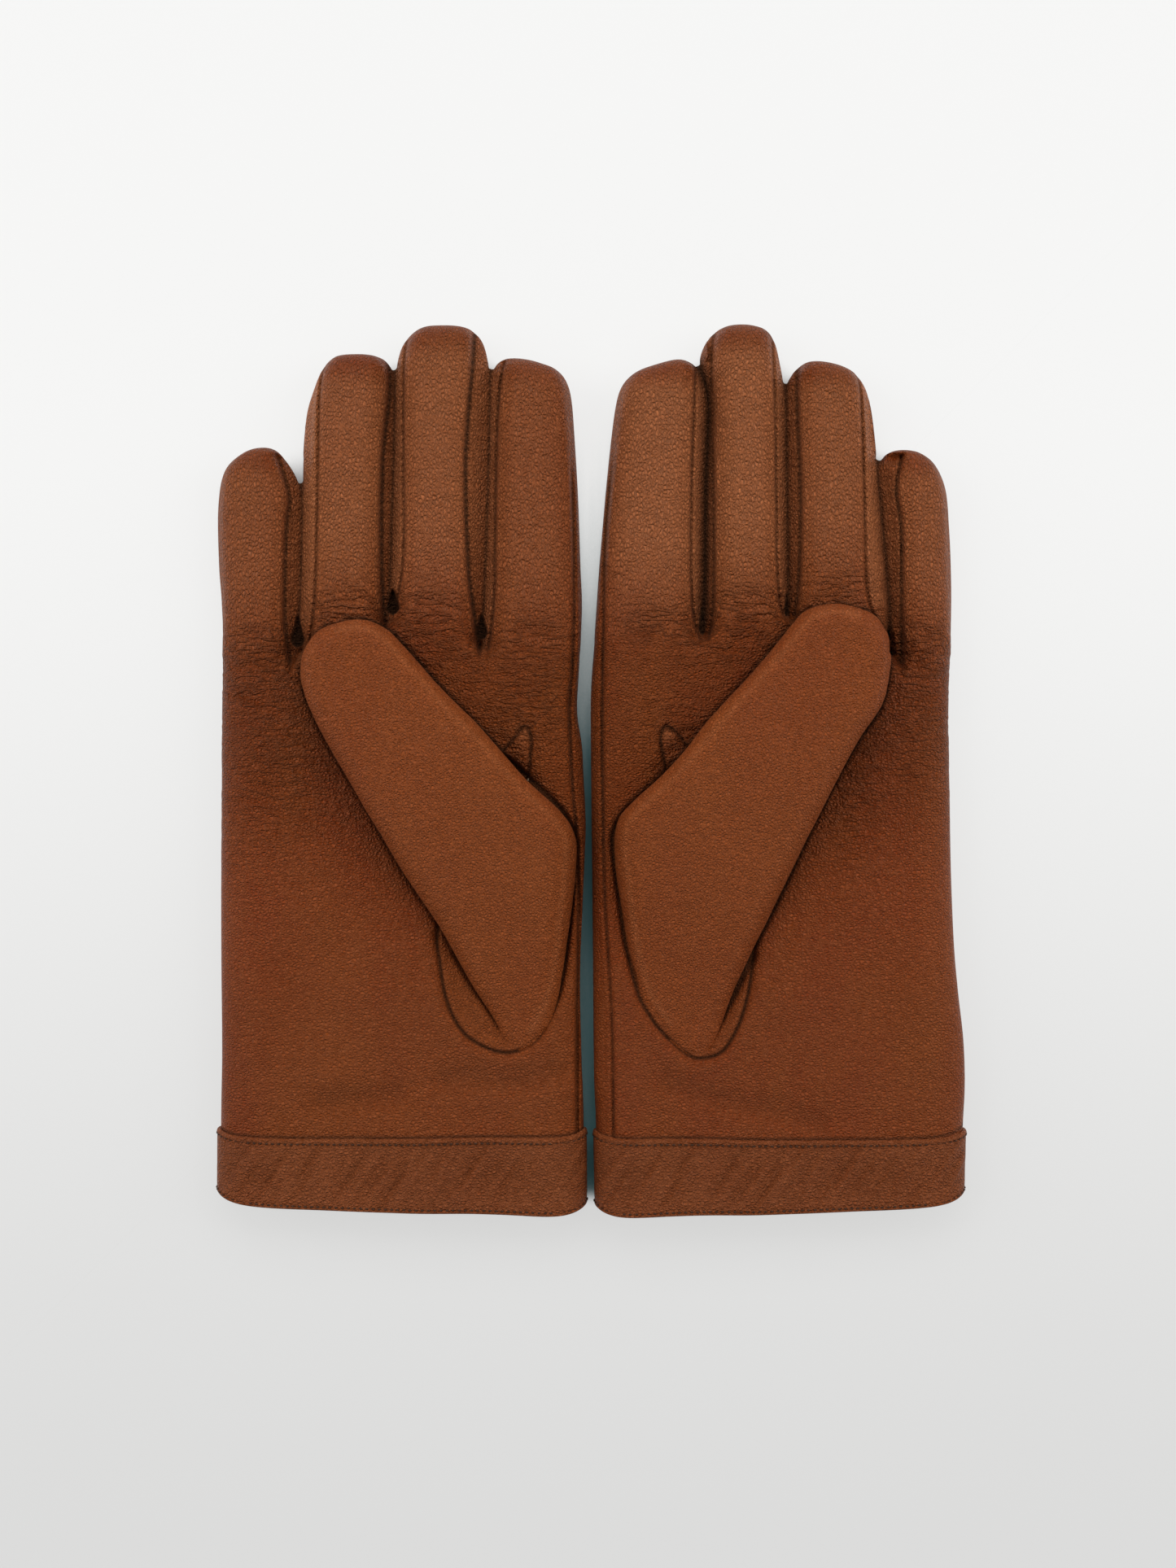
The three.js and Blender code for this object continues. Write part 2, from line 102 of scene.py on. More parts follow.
GLOVES = {
    "right": {
        "centre": -54.4,
        "facing": 1,
        "mouth": -126.0,
        "band_top": -103.6,
        "mouth_tilt": 0.034,
        "warm": (-40, -43, 40),
        "little_edge": [
            (-135, -52.4), (-100, -52.2), (-80, -51.6), (-40, -51.8), (10, -51.7), (38, -51.6), (50, -52),
            (95, -53),
        ],
        "thumb_edge": [
            (-135, 52.4), (-100, 52.2), (-85, 51.6), (-62, 51.1), (-40, 51.6), (-16, 52.7), (0, 52.1),
            (9, 51.6), (18, 50.3), (30, 50.8), (48, 51.7), (60, 51.3), (95, 50),
        ],
        "lines": [
            (-52.7, 34, -52.9, 80), (-30.1, 34.4, -28, 103), (-4.4, 43.8, -2.1, 116),
            (22.9, 36.8, 25.2, 114), (51.3, 36, 48.8, 108),
        ],
        "seams": {
            "little": (None, [(30, -31.5), (45, -33.6), (70, -33.2), (80, -32.4), (92, -36)]),
            "ring": (
                [(30, -28), (48, -24.7), (80, -23.7), (110, -23.2), (120, -22)],
                [(38, -4.7), (60, -6), (90, -5.6), (112, -3.6), (121, -5)],
            ),
            "middle": (
                [(44, -3), (60, 0.6), (90, 0.7), (118, 0.8), (129, 2)],
                [(34, 22.3), (50, 20), (62, 18.8), (90, 18.2), (118, 20.2), (128, 20.6)],
            ),
            "index": ([(34, 24.6), (50, 26.6), (80, 27), (104, 27.7), (119, 29.5)], None),
        },
        "outlines": {
            "little": [
                (-51.3, 5), (-51.3, 36), (-51.9, 50), (-52.7, 61), (-52.9, 77), (-51, 87.4), (-45.5, 92.4),
                (-39, 93.9), (-34.8, 91.6), (-30.4, 84.8), (-29, 77), (-29.4, 55), (-30.2, 33), (-30.6, 5),
            ],
            "ring": [
                (-30.3, 8), (-29.9, 36), (-29, 60), (-28.6, 85), (-27.6, 102), (-25.3, 110.8),
                (-22.4, 117.2), (-18.8, 120), (-12.8, 120.5), (-7.8, 120.2), (-4.6, 118.7), (-2.7, 115.6),
                (-2.3, 110), (-2.7, 90), (-3.6, 60), (-4.5, 42), (-5, 8),
            ],
            "middle": [
                (-4.4, 8), (-4.1, 43), (-3.2, 60), (-2.3, 90), (-2, 112), (-0.8, 120.6), (1.2, 124.9),
                (4.2, 127.6), (7.4, 128.6), (12, 128.7), (17, 128.5), (20.2, 127.4), (22.6, 125),
                (24.2, 120.3), (25, 112), (24.5, 85), (23.5, 55), (22.8, 36), (22.4, 8),
            ],
            "index": [
                (23.3, 8), (23.1, 36), (23.9, 55), (24.9, 85), (25.4, 112), (26.6, 117.1), (29, 119.1),
                (32.4, 119.5), (36.6, 118.9), (40.5, 117.7), (44, 116.4), (46.8, 113.4), (48.4, 108),
                (49.3, 97), (50.3, 80), (51, 60), (51.4, 48), (50.5, 30), (50, 18), (50.6, 8),
            ],
        },
        "outer": [
            (-135, 50.2), (-103, 50.2), (-70, 50.3), (-40, 50.7), (-17, 50), (0, 48.8), (19, 48.1),
            (30, 48.8), (47, 49.4), (64, 49.4), (85, 48.9), (108, 47.8),
        ],
        "tips": {"little": 93.7, "ring": 120.4, "middle": 128.5, "index": 119.4},
        "roots": {"little": 34.4, "ring": 43.8, "middle": 43.8, "index": 36.8},
        "deep": {"little": (0, 0.7), "ring": (0.1, 1), "middle": (0.1, 1), "index": (0.35, 0)},
        "forks": [(-30, 36.7, 45.6, 1.7), (-2.6, 46.2, 53, 1.7), (22.8, 39, 46, 1.5)],
        "crevice": [0.5, 0.5, 0.45],
        # strength of each finger's painted highlight
        "finger_sheen": {"little": 0.8, "ring": 1.2, "middle": 1.2, "index": 0.7},
        "thumb": [
            (-27.8, 31.5), (-25.2, 38.2), (-20.5, 42), (-11.4, 44), (-4.3, 41.7), (1.5, 36.2), (13, 23.2),
            (24.7, 11.2), (36.4, -1.8), (45.5, -10.5), (49.3, -17), (49.6, -26), (47.6, -46), (45.8, -58),
            (43.1, -66.8), (38.4, -75), (34.4, -77.8), (30.6, -75), (24.7, -66), (18.9, -57.3),
            (10.7, -42.1), (1.4, -28), (-10.3, -7.6), (-22, 12.3), (-27, 24),
        ],
        "axis": (-12, 28, 31, -62),
        "hole": [
            (49.9, -18), (49.7, -26), (48.3, -40), (46.2, -58), (43.5, -67), (38.8, -75.3), (31.8, -79),
            (24.8, -77.8), (17.7, -73), (13.1, -64), (11, -52), (10.6, -44), (14, -25), (22, -5), (30, 4),
            (38, -2), (46, -10),
        ],
        "quirk": [(28.2, 5.6), (31.8, 9.6), (35.3, 13.6), (37.2, 10.8), (37, 5), (36.2, -2.5)],
        "pocket": [(30.2, 4.2), (33.4, 1.2), (36.2, -1.4)],
        "pad_fold": [(15.2, -50.7), (20.1, -58.5), (25.1, -66.2), (29.3, -71.9), (33, -75.2)],
        "contact": (0.95, 0.6),
        "folds": [[(44, -84), (34, -87), (22, -86), (13, -87)], [(-2, -91), (-12, -92), (-22, -93)]],
        "wrinkled": [
            (-34, 4, 18, 24), (-44, 26, 9, 9), (-30, 32, 8, 10), (14, 34, 14, 8), (32, 16, 14, 12),
            (-4, 44, 12, 9), (40, 24, 9, 12),
        ],
    },
    "left": {
        "centre": 52.2,
        "facing": -1,
        "mouth": -126.4,
        "band_top": -104.0,
        "mouth_tilt": 0.036,
        "warm": (-34, -35, 32),
        "little_edge": [
            (-135, -54), (-104, -54.6), (-90, -55), (-76, -54.5), (-62, -52.9), (-48, -51.7), (-25, -50.8),
            (0, -50.5), (20, -50.3), (33, -50.9), (48, -51.5), (95, -50),
        ],
        "thumb_edge": [
            (-135, 50.4), (-100, 51), (-85, 51.5), (-40, 51.9), (10, 52.4), (25, 52.3), (40, 51.2),
            (59, 50), (95, 47),
        ],
        "lines": [
            (-51.7, 33, -50.2, 78), (-35.6, 32.8, -28.5, 100), (-4.6, 45.4, -3.4, 112),
            (20, 40.5, 19, 112), (49.5, 40, 45.3, 106),
        ],
        "seams": {
            "little": (None, [(30, -36.8), (47, -36.8), (70, -36.6), (82, -35.2), (92, -37)]),
            "ring": (
                [(40, -31), (52, -26.4), (78, -25.6), (112, -24.6), (118, -23)],
                [(44, -6), (58, -7.4), (82, -7.7), (112, -6.7), (118, -8)],
            ),
            "middle": (
                [(44, -3.4), (54, -1), (90, -0.4), (105, -0.1), (126, 0.3)],
                [(38, 18.8), (50, 17.3), (80, 17.2), (118, 17.8), (128, 16.5)],
            ),
            "index": ([(38, 21), (50, 23.6), (80, 23.8), (110, 22.8), (119, 22)], None),
        },
        "outlines": {
            "little": [
                (-50.1, 5), (-50.1, 20), (-50.6, 32), (-51.2, 48), (-51.1, 60), (-50.6, 71), (-49.6, 82),
                (-46.6, 89), (-42.6, 92.1), (-38.5, 93.2), (-34.5, 92.9), (-31.6, 91), (-30, 87.5),
                (-30.9, 80), (-32.7, 62), (-34, 47), (-35.6, 33), (-36, 5),
            ],
            "ring": [
                (-35.2, 8), (-35, 33), (-33.3, 48), (-32.1, 63), (-30.5, 82), (-28.8, 100), (-27.3, 108.6),
                (-25.4, 113), (-22.2, 116.3), (-17, 118), (-11.8, 118.5), (-8.2, 117.6), (-5.3, 114.6),
                (-4.1, 110), (-4.3, 90), (-4.8, 60), (-5, 45), (-5.2, 8),
            ],
            "middle": [
                (-4.2, 8), (-4.2, 45), (-3.9, 60), (-3.6, 90), (-3.4, 108), (-1.9, 118), (-0.3, 124.4),
                (2.2, 127.6), (5.6, 128.7), (9.8, 129), (13.8, 128.5), (17.2, 126.6), (19.6, 123.2),
                (20.9, 119), (20.3, 115.6), (19, 111), (18.3, 103), (19, 85), (19.3, 60), (19.7, 41),
                (19.9, 8),
            ],
            "index": [
                (20.7, 8), (20.4, 41), (19.9, 60), (19.5, 85), (18.8, 102), (18.8, 108), (19.6, 112),
                (21, 115.8), (23.2, 118.2), (26.8, 119.1), (31, 118.4), (37.5, 116.4), (41.2, 114.2),
                (43.6, 111), (45, 106), (46.3, 96.5), (47.8, 82), (49.2, 66), (50, 56), (51, 40), (52, 25),
                (52.1, 8),
            ],
        },
        "outer": [
            (-135, 46), (-103, 45.9), (-81, 46.1), (-69, 46.4), (-58, 47), (-46, 47.8), (-34, 48.5),
            (-11, 48.9), (12, 49.2), (36, 48.9), (48, 48.7), (65, 48.4), (82, 47.1), (108, 44),
        ],
        "tips": {"little": 93.0, "ring": 118.3, "middle": 128.8, "index": 119.0},
        "roots": {"little": 32.8, "ring": 48.5, "middle": 45.4, "index": 40.5},
        "deep": {"little": (0, 0.6), "ring": (0.1, 0.7), "middle": (0.1, 0.5), "index": (0.2, 0)},
        "forks": [(-32.4, 34.6, 40.6, 0.8), (-3.9, 45.6, 52, 0.6), (20.4, 40.4, 48, 0.8)],
        "crevice": [0.6, 0.5, 1.0],
        # strength of each finger's painted highlight
        "finger_sheen": {"little": 0.95, "ring": 1.1, "middle": 1.55, "index": 1.55},
        "thumb": [
            (-32.6, 36.5), (-30.5, 42), (-26.7, 45.9), (-17.4, 48.4), (-9, 46.8), (-4.5, 42.5),
            (0.1, 36.8), (6, 29.8), (17.6, 16.9), (29.3, 2.9), (41, -8.3), (44.8, -14), (45.2, -24),
            (43.4, -38), (41.9, -48.6), (38.4, -61.6), (35.6, -67), (31.4, -72.7), (24.6, -78.6),
            (20.6, -79.2), (17.2, -73.6), (11.8, -61.3), (6, -48.5), (0.1, -36.8), (-9.2, -16.9),
            (-16.2, -2.9), (-23.2, 9.9), (-30.4, 21.5),
        ],
        "axis": (-18, 33, 26, -64),
        "hole": [
            (46.2, -16.8), (45.5, -27.4), (44.1, -38), (42.6, -48.6), (39.1, -62), (36.3, -67.6),
            (32.1, -73.3), (25, -79.6), (20.8, -80.7), (15.1, -78.9), (10.9, -72.6), (8, -64.1),
            (6.6, -55.6), (6.1, -48.5), (9, -36), (16, -14), (26, 2), (34, -3), (42, -10),
        ],
        "quirk": [(23.4, 6.2), (27.6, 11.4), (30.9, 13.8), (32.6, 10.6), (31.6, 4.5), (30.4, -1)],
        "pocket": [(24.6, 4.4), (27.6, 1.4), (30.4, -1.4)],
        "pad_fold": [(5.9, -51.4), (10.9, -62), (15.1, -69.8), (19.6, -77.8)],
        "contact": (0.6, 1.0),
        "folds": [[(30, -87), (25, -89.5), (12, -93), (-2, -96), (-13, -99)]],
        "wrinkled": [
            (-42, 12, 13, 16), (-40, 34, 12, 9), (8, 40, 14, 9), (26, 12, 13, 12), (-22, -4, 10, 22),
            (20, 38, 9, 8),
        ],
    },
}


# ---- curves and fields on a glove's plan ----
def smooth_curve(points, closed, step=1.0):
    """A Catmull-Rom curve through the points, as closely spaced points."""
    pts = np.array(points, float)
    n = len(pts)
    spans = n if closed else n - 1
    out = []
    for i in range(spans):
        if closed:
            a, b, c, d = (pts[(i + k) % n] for k in (-1, 0, 1, 2))
        else:
            a, b, c, d = pts[max(i - 1, 0)], pts[i], pts[i + 1], pts[min(i + 2, n - 1)]
        count = max(2, int(np.hypot(*(c - b)) / step))
        t = np.linspace(0, 1, count, endpoint=False)[:, None]
        bend = (2 * a - 5 * b + 4 * c - d) * t**2
        out.append(0.5 * ((2 * b) + (c - a) * t + bend + (3 * b - a - 3 * c + d) * t**3))
    out = np.concatenate(out)
    return out if closed else np.vstack([out, pts[-1]])


def across(points, y):
    """u of a curve given as (y, u) points, at each y."""
    fine = smooth_curve(points, False, 2.0)
    return np.interp(y, fine[:, 0], fine[:, 1])


def along_line(line, y):
    u0, y0, u1, y1 = line
    return u0 + (u1 - u0) * (y - y0) / (y1 - y0)


def down_thumb(glove, u, y):
    """How far a place lies down the thumb from its tip."""
    tip_u, tip_y, foot_u, foot_y = glove["axis"]
    length = math.hypot(foot_u - tip_u, foot_y - tip_y)
    return ((u - tip_u) * (foot_u - tip_u) + (y - tip_y) * (foot_y - tip_y)) / length


def distance_to(points, closed, u, y, far=14.0):
    """Distance to a curve, negative inside a closed one; far from it the value only says which side."""
    curve = smooth_curve(points, closed)
    ends = np.roll(curve, -1, 0) if closed else curve[1:]
    starts = curve if closed else curve[:-1]
    near = (u > curve[:, 0].min() - far) & (u < curve[:, 0].max() + far)
    near &= (y > curve[:, 1].min() - far) & (y < curve[:, 1].max() + far)
    pu, py = u[near], y[near]
    best = np.full(pu.shape, 1e9)
    inside = np.zeros(pu.shape, bool)
    for (au, ay), (bu, by) in zip(starts, ends):
        du, dy = bu - au, by - ay
        t = np.clip(((pu - au) * du + (py - ay) * dy) / (du * du + dy * dy), 0, 1)
        best = np.minimum(best, (pu - au - t * du) ** 2 + (py - ay - t * dy) ** 2)
        crosses = (ay > py) != (by > py)
        if closed and ay != by:
            inside ^= crosses & (pu < au + (py - ay) / (by - ay) * du)
    out = np.full(u.shape, far)
    out[near] = np.where(inside, -1, 1) * np.sqrt(best)
    return out


def smoothstep(x, low, high):
    t = np.clip((x - low) / (high - low), 0, 1)
    return t * t * (3 - 2 * t)


def smooth_min(a, b, k):
    h = np.clip(0.5 + 0.5 * (b - a) / k, 0, 1)
    return b + (a - b) * h - k * h * (1 - h)


def noise(u, y, seed):
    """Smooth random values from -1 to 1 at unit spacing."""
    table = np.random.default_rng(seed).uniform(-1, 1, (64, 64))
    iu, iy = np.floor(u).astype(int), np.floor(y).astype(int)
    fu, fy = u - iu, y - iy
    fu, fy = fu**3 * (fu * (fu * 6 - 15) + 10), fy**3 * (fy * (fy * 6 - 15) + 10)

    def corner(right, up):
        return table[(iu + right) % 64, (iy + up) % 64]

    low = corner(0, 0) * (1 - fu) + corner(1, 0) * fu
    high = corner(0, 1) * (1 - fu) + corner(1, 1) * fu
    return low * (1 - fy) + high * fy


class Plan:
    """Grids over a glove's plan, sampled anywhere by linear interpolation."""

    def __init__(self):
        self.low = np.array([-62.0, -134.0])
        self.u = np.arange(self.low[0], 62, CELL)
        self.y = np.arange(self.low[1], 136, CELL)
        self.U, self.Y = np.meshgrid(self.u, self.y, indexing="ij")

    def sample(self, field, u, y):
        gu = np.clip((u - self.low[0]) / CELL, 0, len(self.u) - 1.001)
        gy = np.clip((y - self.low[1]) / CELL, 0, len(self.y) - 1.001)
        iu, iy = gu.astype(int), gy.astype(int)
        fu, fy = gu - iu, gy - iy
        low = field[iu, iy] * (1 - fu) + field[iu + 1, iy] * fu
        high = field[iu, iy + 1] * (1 - fu) + field[iu + 1, iy + 1] * fu
        return low * (1 - fy) + high * fy


# ---- the leather's profile ----
def finger_profile(glove, name, U, Y):
    """0 along a finger's middle, 1 at its outline and more beyond."""
    d = distance_to(glove["outlines"][name], True, U, Y, 10.0) - SNUG
    i = FINGERS.index(name)
    for j, fork in ((i - 1, i), (i + 1, i + 1)):
        if 0 <= j < 4:
            other = distance_to(glove["outlines"][FINGERS[j]], True, U, Y, 4.0)
            above = smoothstep(Y, glove["lines"][fork][1] - 1, glove["lines"][fork][1] + 4)
            d = d - PRESSED * above * smoothstep(-other, -1.6, -0.2)
    fade = smoothstep(-Y, -glove["roots"][name], -glove["roots"][name] + 26)
    return 1 - np.clip(-d / FINGER_SLOPE, -9, 1) + 0.75 * fade


def fork_holes(glove, U, Y):
    """Distance to the nearest of the drop-shaped openings where the fingers part."""
    nearest = np.full_like(U, 9.0)
    for u, low, high, half in glove["forks"]:
        tall = high - low
        drop = [(u, low), (u + half, low + 0.2 * tall), (u + 0.45 * half, low + 0.65 * tall), (u, high)]
        drop += [(u - 0.45 * half, low + 0.65 * tall), (u - half, low + 0.2 * tall)]
        nearest = np.minimum(nearest, distance_to(drop, True, U, Y, 9.0))
    return nearest


def hand_profile(glove, U, Y):
    left, right = across(glove["little_edge"], Y), across(glove["thumb_edge"], Y)
    side = np.maximum(left - U, U - right)
    forks = [(line[0], line[1]) for line in glove["lines"]]
    spots = [(-60, 40), (forks[0][0] + 8, 42)]
    for (u0, y0), (u1, y1) in zip(forks[1:-1], forks[2:]):
        spots += [(u0, y0 - 0.5), ((u0 + u1) / 2, max(y0, y1) + 8)]
    spots += [(60, forks[-1][1] + 8)]
    end = Y - np.interp(U, [s[0] for s in spots], [s[1] for s in spots])
    a_side = 1 - np.clip(-side / 13.0, -9, 1)
    a_end = 1 - np.clip(-end / 5.0, -9, 1)
    return (np.maximum(a_side, 0) ** 3 + np.maximum(a_end, 0) ** 3) ** (1 / 3), side


def groove(d, depth, width):
    return depth * np.exp(-((d / width) ** 2))


# The dark field is painted shade: it darkens the leather's colour in crevices, seams, folds and under edges.
def darken(f, amount):
    f["dark"] = np.maximum(f["dark"], amount)


def lay_fingers(glove, U, Y, lips):
    """Each finger's profile, all of them joined, and the thickness of the fingers near each place."""
    fingers, joined = {}, None
    thickness = np.zeros_like(U)
    weight = np.zeros_like(U)
    for name in FINGERS:
        profile = np.maximum(finger_profile(glove, name, U, Y), lips)
        fingers[name] = profile
        joined = profile if joined is None else smooth_min(joined, profile, 0.05)
        near = np.exp(-np.clip(profile, 0, 3) * 6)
        thickness += near * FINGER_T[name]
        weight += near
    return fingers, joined, thickness / np.maximum(weight, 1e-9)


def press_crevices(f, glove, fingers):
    """A deep groove where two fingers press together, beginning at their fork, darkened with painted shade.
    """
    for i, width in enumerate(glove["crevice"]):
        first, second = fingers[FINGERS[i]], fingers[FINGERS[i + 1]]
        fork = glove["lines"][i + 1][1]
        meet = np.exp(-(((first - second) * FINGER_SLOPE / (2 * 0.8 * width)) ** 2))
        meet *= smoothstep(f["plan"].Y, fork, fork + 4) * (np.minimum(first, second) < 1.3)
        f["dent"] += (0.8 + 1.8 * width) * meet
        # painted shade in the crevice between the fingers
        darken(f, (0.55 + 0.45 * width) * meet)


def sew_finger(f, glove, name, which):
    """A finger's long seam: a puckered groove, the strip puffed beside it, the side wall lower beyond,
    painted shade along the seam line and painted highlight on the puffed edge and the outer side wall.
    """
    U, Y = f["plan"].U, f["plan"].Y
    seam, deep = glove["seams"][name][which], glove["deep"][name][which]
    if seam is None:
        return
    i = FINGERS.index(name)
    low, high = seam[0][0], seam[-1][0]
    past = U - across(seam, Y)
    beyond = -past if which == 0 else past
    on = smoothstep(Y, low - 2, low + 3) * (1 - smoothstep(Y, high - 1.0, high + 0.5))
    on = on * ((U > along_line(glove["lines"][i], Y)) & (U < along_line(glove["lines"][i + 1], Y)))
    pucker = 0.6 + 0.4 * np.sin(2 * np.pi * Y / PUCKER + 2.5 * noise(U / 7, Y / 5, 5))
    f["dent"] += on * groove(beyond - 0.25 * deep, 0.8 + 1.5 * deep, 0.45 + 0.2 * deep)
    f["dent"] += on * groove(past, 0.6, 2.4) * (0.7 + 0.3 * pucker)
    f["dent"] += on * (0.6 + 1.5 * deep) * smoothstep(beyond, 0, 1.5 + 1.5 * (1 - deep))
    # painted shade along the seam line, darkest where the seam is deep
    line = np.exp(-np.abs((beyond - 0.3 * deep) / (0.34 + 0.24 * deep)) ** 3)
    darken(f, on * (0.6 + 0.4 * deep) * (0.6 + 0.4 * pucker) * line)
    # painted highlight on the strip's puffed edge beside the seam
    f["painted_sheen"] += 0.55 * on * groove(beyond + 1.1, 1.0, 0.6) * pucker
    # painted highlight on the outer side wall
    if which == 0:
        f["painted_sheen"] += 0.85 * on * smoothstep(beyond, 0.3, 1.2)


def shape_finger(f, glove, name):
    """A finger falls away to its sides, has painted highlight along its length that fades out before the tip,
    and wrinkles at its root.
    """
    U, Y = f["plan"].U, f["plan"].Y
    i = FINGERS.index(name)
    first, second = glove["lines"][i], glove["lines"][i + 1]
    root, tip = glove["roots"][name], glove["tips"][name]
    middle = (along_line(first, root) + along_line(second, root)) / 2
    half = (along_line(second, Y) - along_line(first, Y)) / 2
    off = (U - along_line(first, Y)) / half - 1
    own = ((off > -1) | (i == 0)) & ((off <= 1) | (i == 3))
    aside = np.clip(off, -1, 1)
    f["dent"] += aside**2 * own * smoothstep(Y, root, root + 20)
    # painted highlight along the finger, weaker towards its sides and gone near the tip
    sheen_span = smoothstep(Y, root - 8, root + 30) * (1 - smoothstep(Y, tip - 11, tip - 3))
    f["painted_sheen"] += own * glove["finger_sheen"][name] * sheen_span * (1 - 0.45 * aside**4)
    f["crease"] += np.exp(-(((Y - root - 3) / 7) ** 2)) * np.exp(-(((U - middle) / 11) ** 2))


def crease_palm(f, glove):
    """Broad folds near the cuff, and wrinkles where the leather crumples."""
    U, Y = f["plan"].U, f["plan"].Y
    for u, y, wide, tall in glove["wrinkled"]:
        f["crease"] += 0.8 * np.exp(-(((U - u) / wide) ** 2) - ((Y - y) / tall) ** 2)
    f["crease"] = np.clip(f["crease"], 0, 1)
    for fold in glove["folds"]:
        d = distance_to(fold, False, U, Y, 24.0)
        below = Y - across(sorted(fold), U)
        f["dent"] += groove(d, 0.9, 4.5) - groove(d, 0.5, 9.0) * smoothstep(-below, 0, 6)
        # painted shade in the valley of the fold
        darken(f, groove(d, 0.3, 6.0))
    fine = noise(U / 9 + 3, Y / 1.7 + 1.2 * noise(U / 11, Y / 14, 11), 7)
    coarse = noise(U / 13 + 7, Y / 2.6 + 1.5 * noise(U / 12, Y / 11, 13), 17)
    f["dent"] += f["crease"] * (0.36 * np.abs(fine) + 0.5 * np.abs(coarse))
    f["dent"] += 0.10 * noise(U / 8, Y / 3.2, 21) * smoothstep(Y, 35, 60)


def sag_palm(f, glove, side):
    """Slow waves over the palm, held flat near the band, with a line of painted shade where the band's edge
    lies.
    """
    U, Y = f["plan"].U, f["plan"].Y
    slack = smoothstep(Y, glove["band_top"] + 2, glove["band_top"] + 18)
    beside = np.exp(-(np.minimum(U + 53, 53 - U)) / 4.0)
    band_edge = cuff_y(glove, glove["band_top"] + 0.3, U, beside)
    # painted shade under the band's edge
    darken(f, groove(Y - band_edge - 0.35, 0.85, 0.6))
    waves = noise(U / 27 + 9, Y / 31, 31) * smoothstep(-Y, -25, 20) * smoothstep(-side, 2, 16)
    f["dent"] += 0.35 * (1 - slack) + 1.1 * slack * waves
    f["dent"] += slack * 0.22 * noise(U / 9, Y / 8, 41) * smoothstep(-side, 1, 10)


def sew_thumb_in(f, glove):
    """The thumb hole's seam, the gusset, the pocket beside it and the fold down the thumb's pad."""
    U, Y = f["plan"].U, f["plan"].Y
    hole, thumb = f["hole"], f["thumb"]
    gusset = distance_to(glove["quirk"], False, U, Y)
    f["dent"] += groove(hole, 0.9, 0.6) + groove(hole, 0.35, 2.2) - groove(hole - 2.6, 0.25, 1.6)
    f["dent"] += groove(gusset, 0.9, 0.5) + groove(gusset, 0.4, 1.9)
    pocket = distance_to(glove["pocket"], False, U, Y)
    f["dent"] += groove(pocket, 2.0, 1.1)
    tip_u, tip_y = glove["quirk"][2]
    # painted highlight on the gusset's tip
    f["painted_sheen"] += 0.9 * np.exp(-((U - tip_u + 0.4) ** 2 + (Y - tip_y + 2.2) ** 2) / 2.2**2)
    pad_fold = distance_to(glove["pad_fold"], False, U, Y)
    f["dent"] += groove(pad_fold, 0.9, 0.7)
    by_gusset = np.exp(-((distance_to(glove["quirk"][2:5], False, U, Y) / 9) ** 2))
    f["dent"] += 2.2 * smoothstep(-thumb, -5.5, -0.5) * by_gusset
    # painted shade in the hole's seam, the gusset's seam, the pocket and the pad's fold
    darken(f, np.maximum(groove(hole + 0.1, 1.0, 0.62), groove(gusset, 0.9, 0.45)))
    darken(f, np.maximum(groove(pocket, 0.95, 1.0), groove(pad_fold, 0.9, 0.6)))
    f["dent"] += 0.9 * smoothstep(-hole, 0.5, 4)


def rest_thumb(f, glove):
    """Where the thumb lies on the palm: the leather gives under it, painted shade darkens the palm along the
    thumb's edge, and a painted highlight runs along the thumb's upper rim.
    """
    U, Y = f["plan"].U, f["plan"].Y
    thumb = f["thumb"]
    tip_u, tip_y, foot_u, foot_y = glove["axis"]
    tucked = 1 - smoothstep(down_thumb(glove, U, Y), 106, 114)
    f["dent"] += tucked * groove(thumb + 0.5, 1.1, 1.3)
    upper = (U - tip_u) * (foot_y - tip_y) < (Y - tip_y) * (foot_u - tip_u)
    contact = np.where(upper, glove["contact"][0], glove["contact"][1])
    # painted shade along the thumb's edge where it lies on the palm
    darken(f, contact * tucked * groove(thumb - np.where(upper, 0.1, 0.45), 1.0, 0.75))
    # painted highlight along the thumb's upper rim
    f["rim"] = 0.5 * upper * groove(thumb + 2.6, 1.0, 1.1)


def sew_outer_seam(f, glove):
    """The long seam down the index side, between two low ridges."""
    U, Y = f["plan"].U, f["plan"].Y
    outer = U - across(glove["outer"], Y)
    on = smoothstep(-Y, -94, -80)
    ridges = groove(outer - 1.2, 0.2, 0.7) + groove(outer + 1.3, 0.15, 0.8)
    f["dent"] += on * (groove(outer, 0.65, 0.45) - ridges)
    # a dark seam line, with painted shade in its groove
    darken(f, on * groove(outer, 0.8, 0.4))


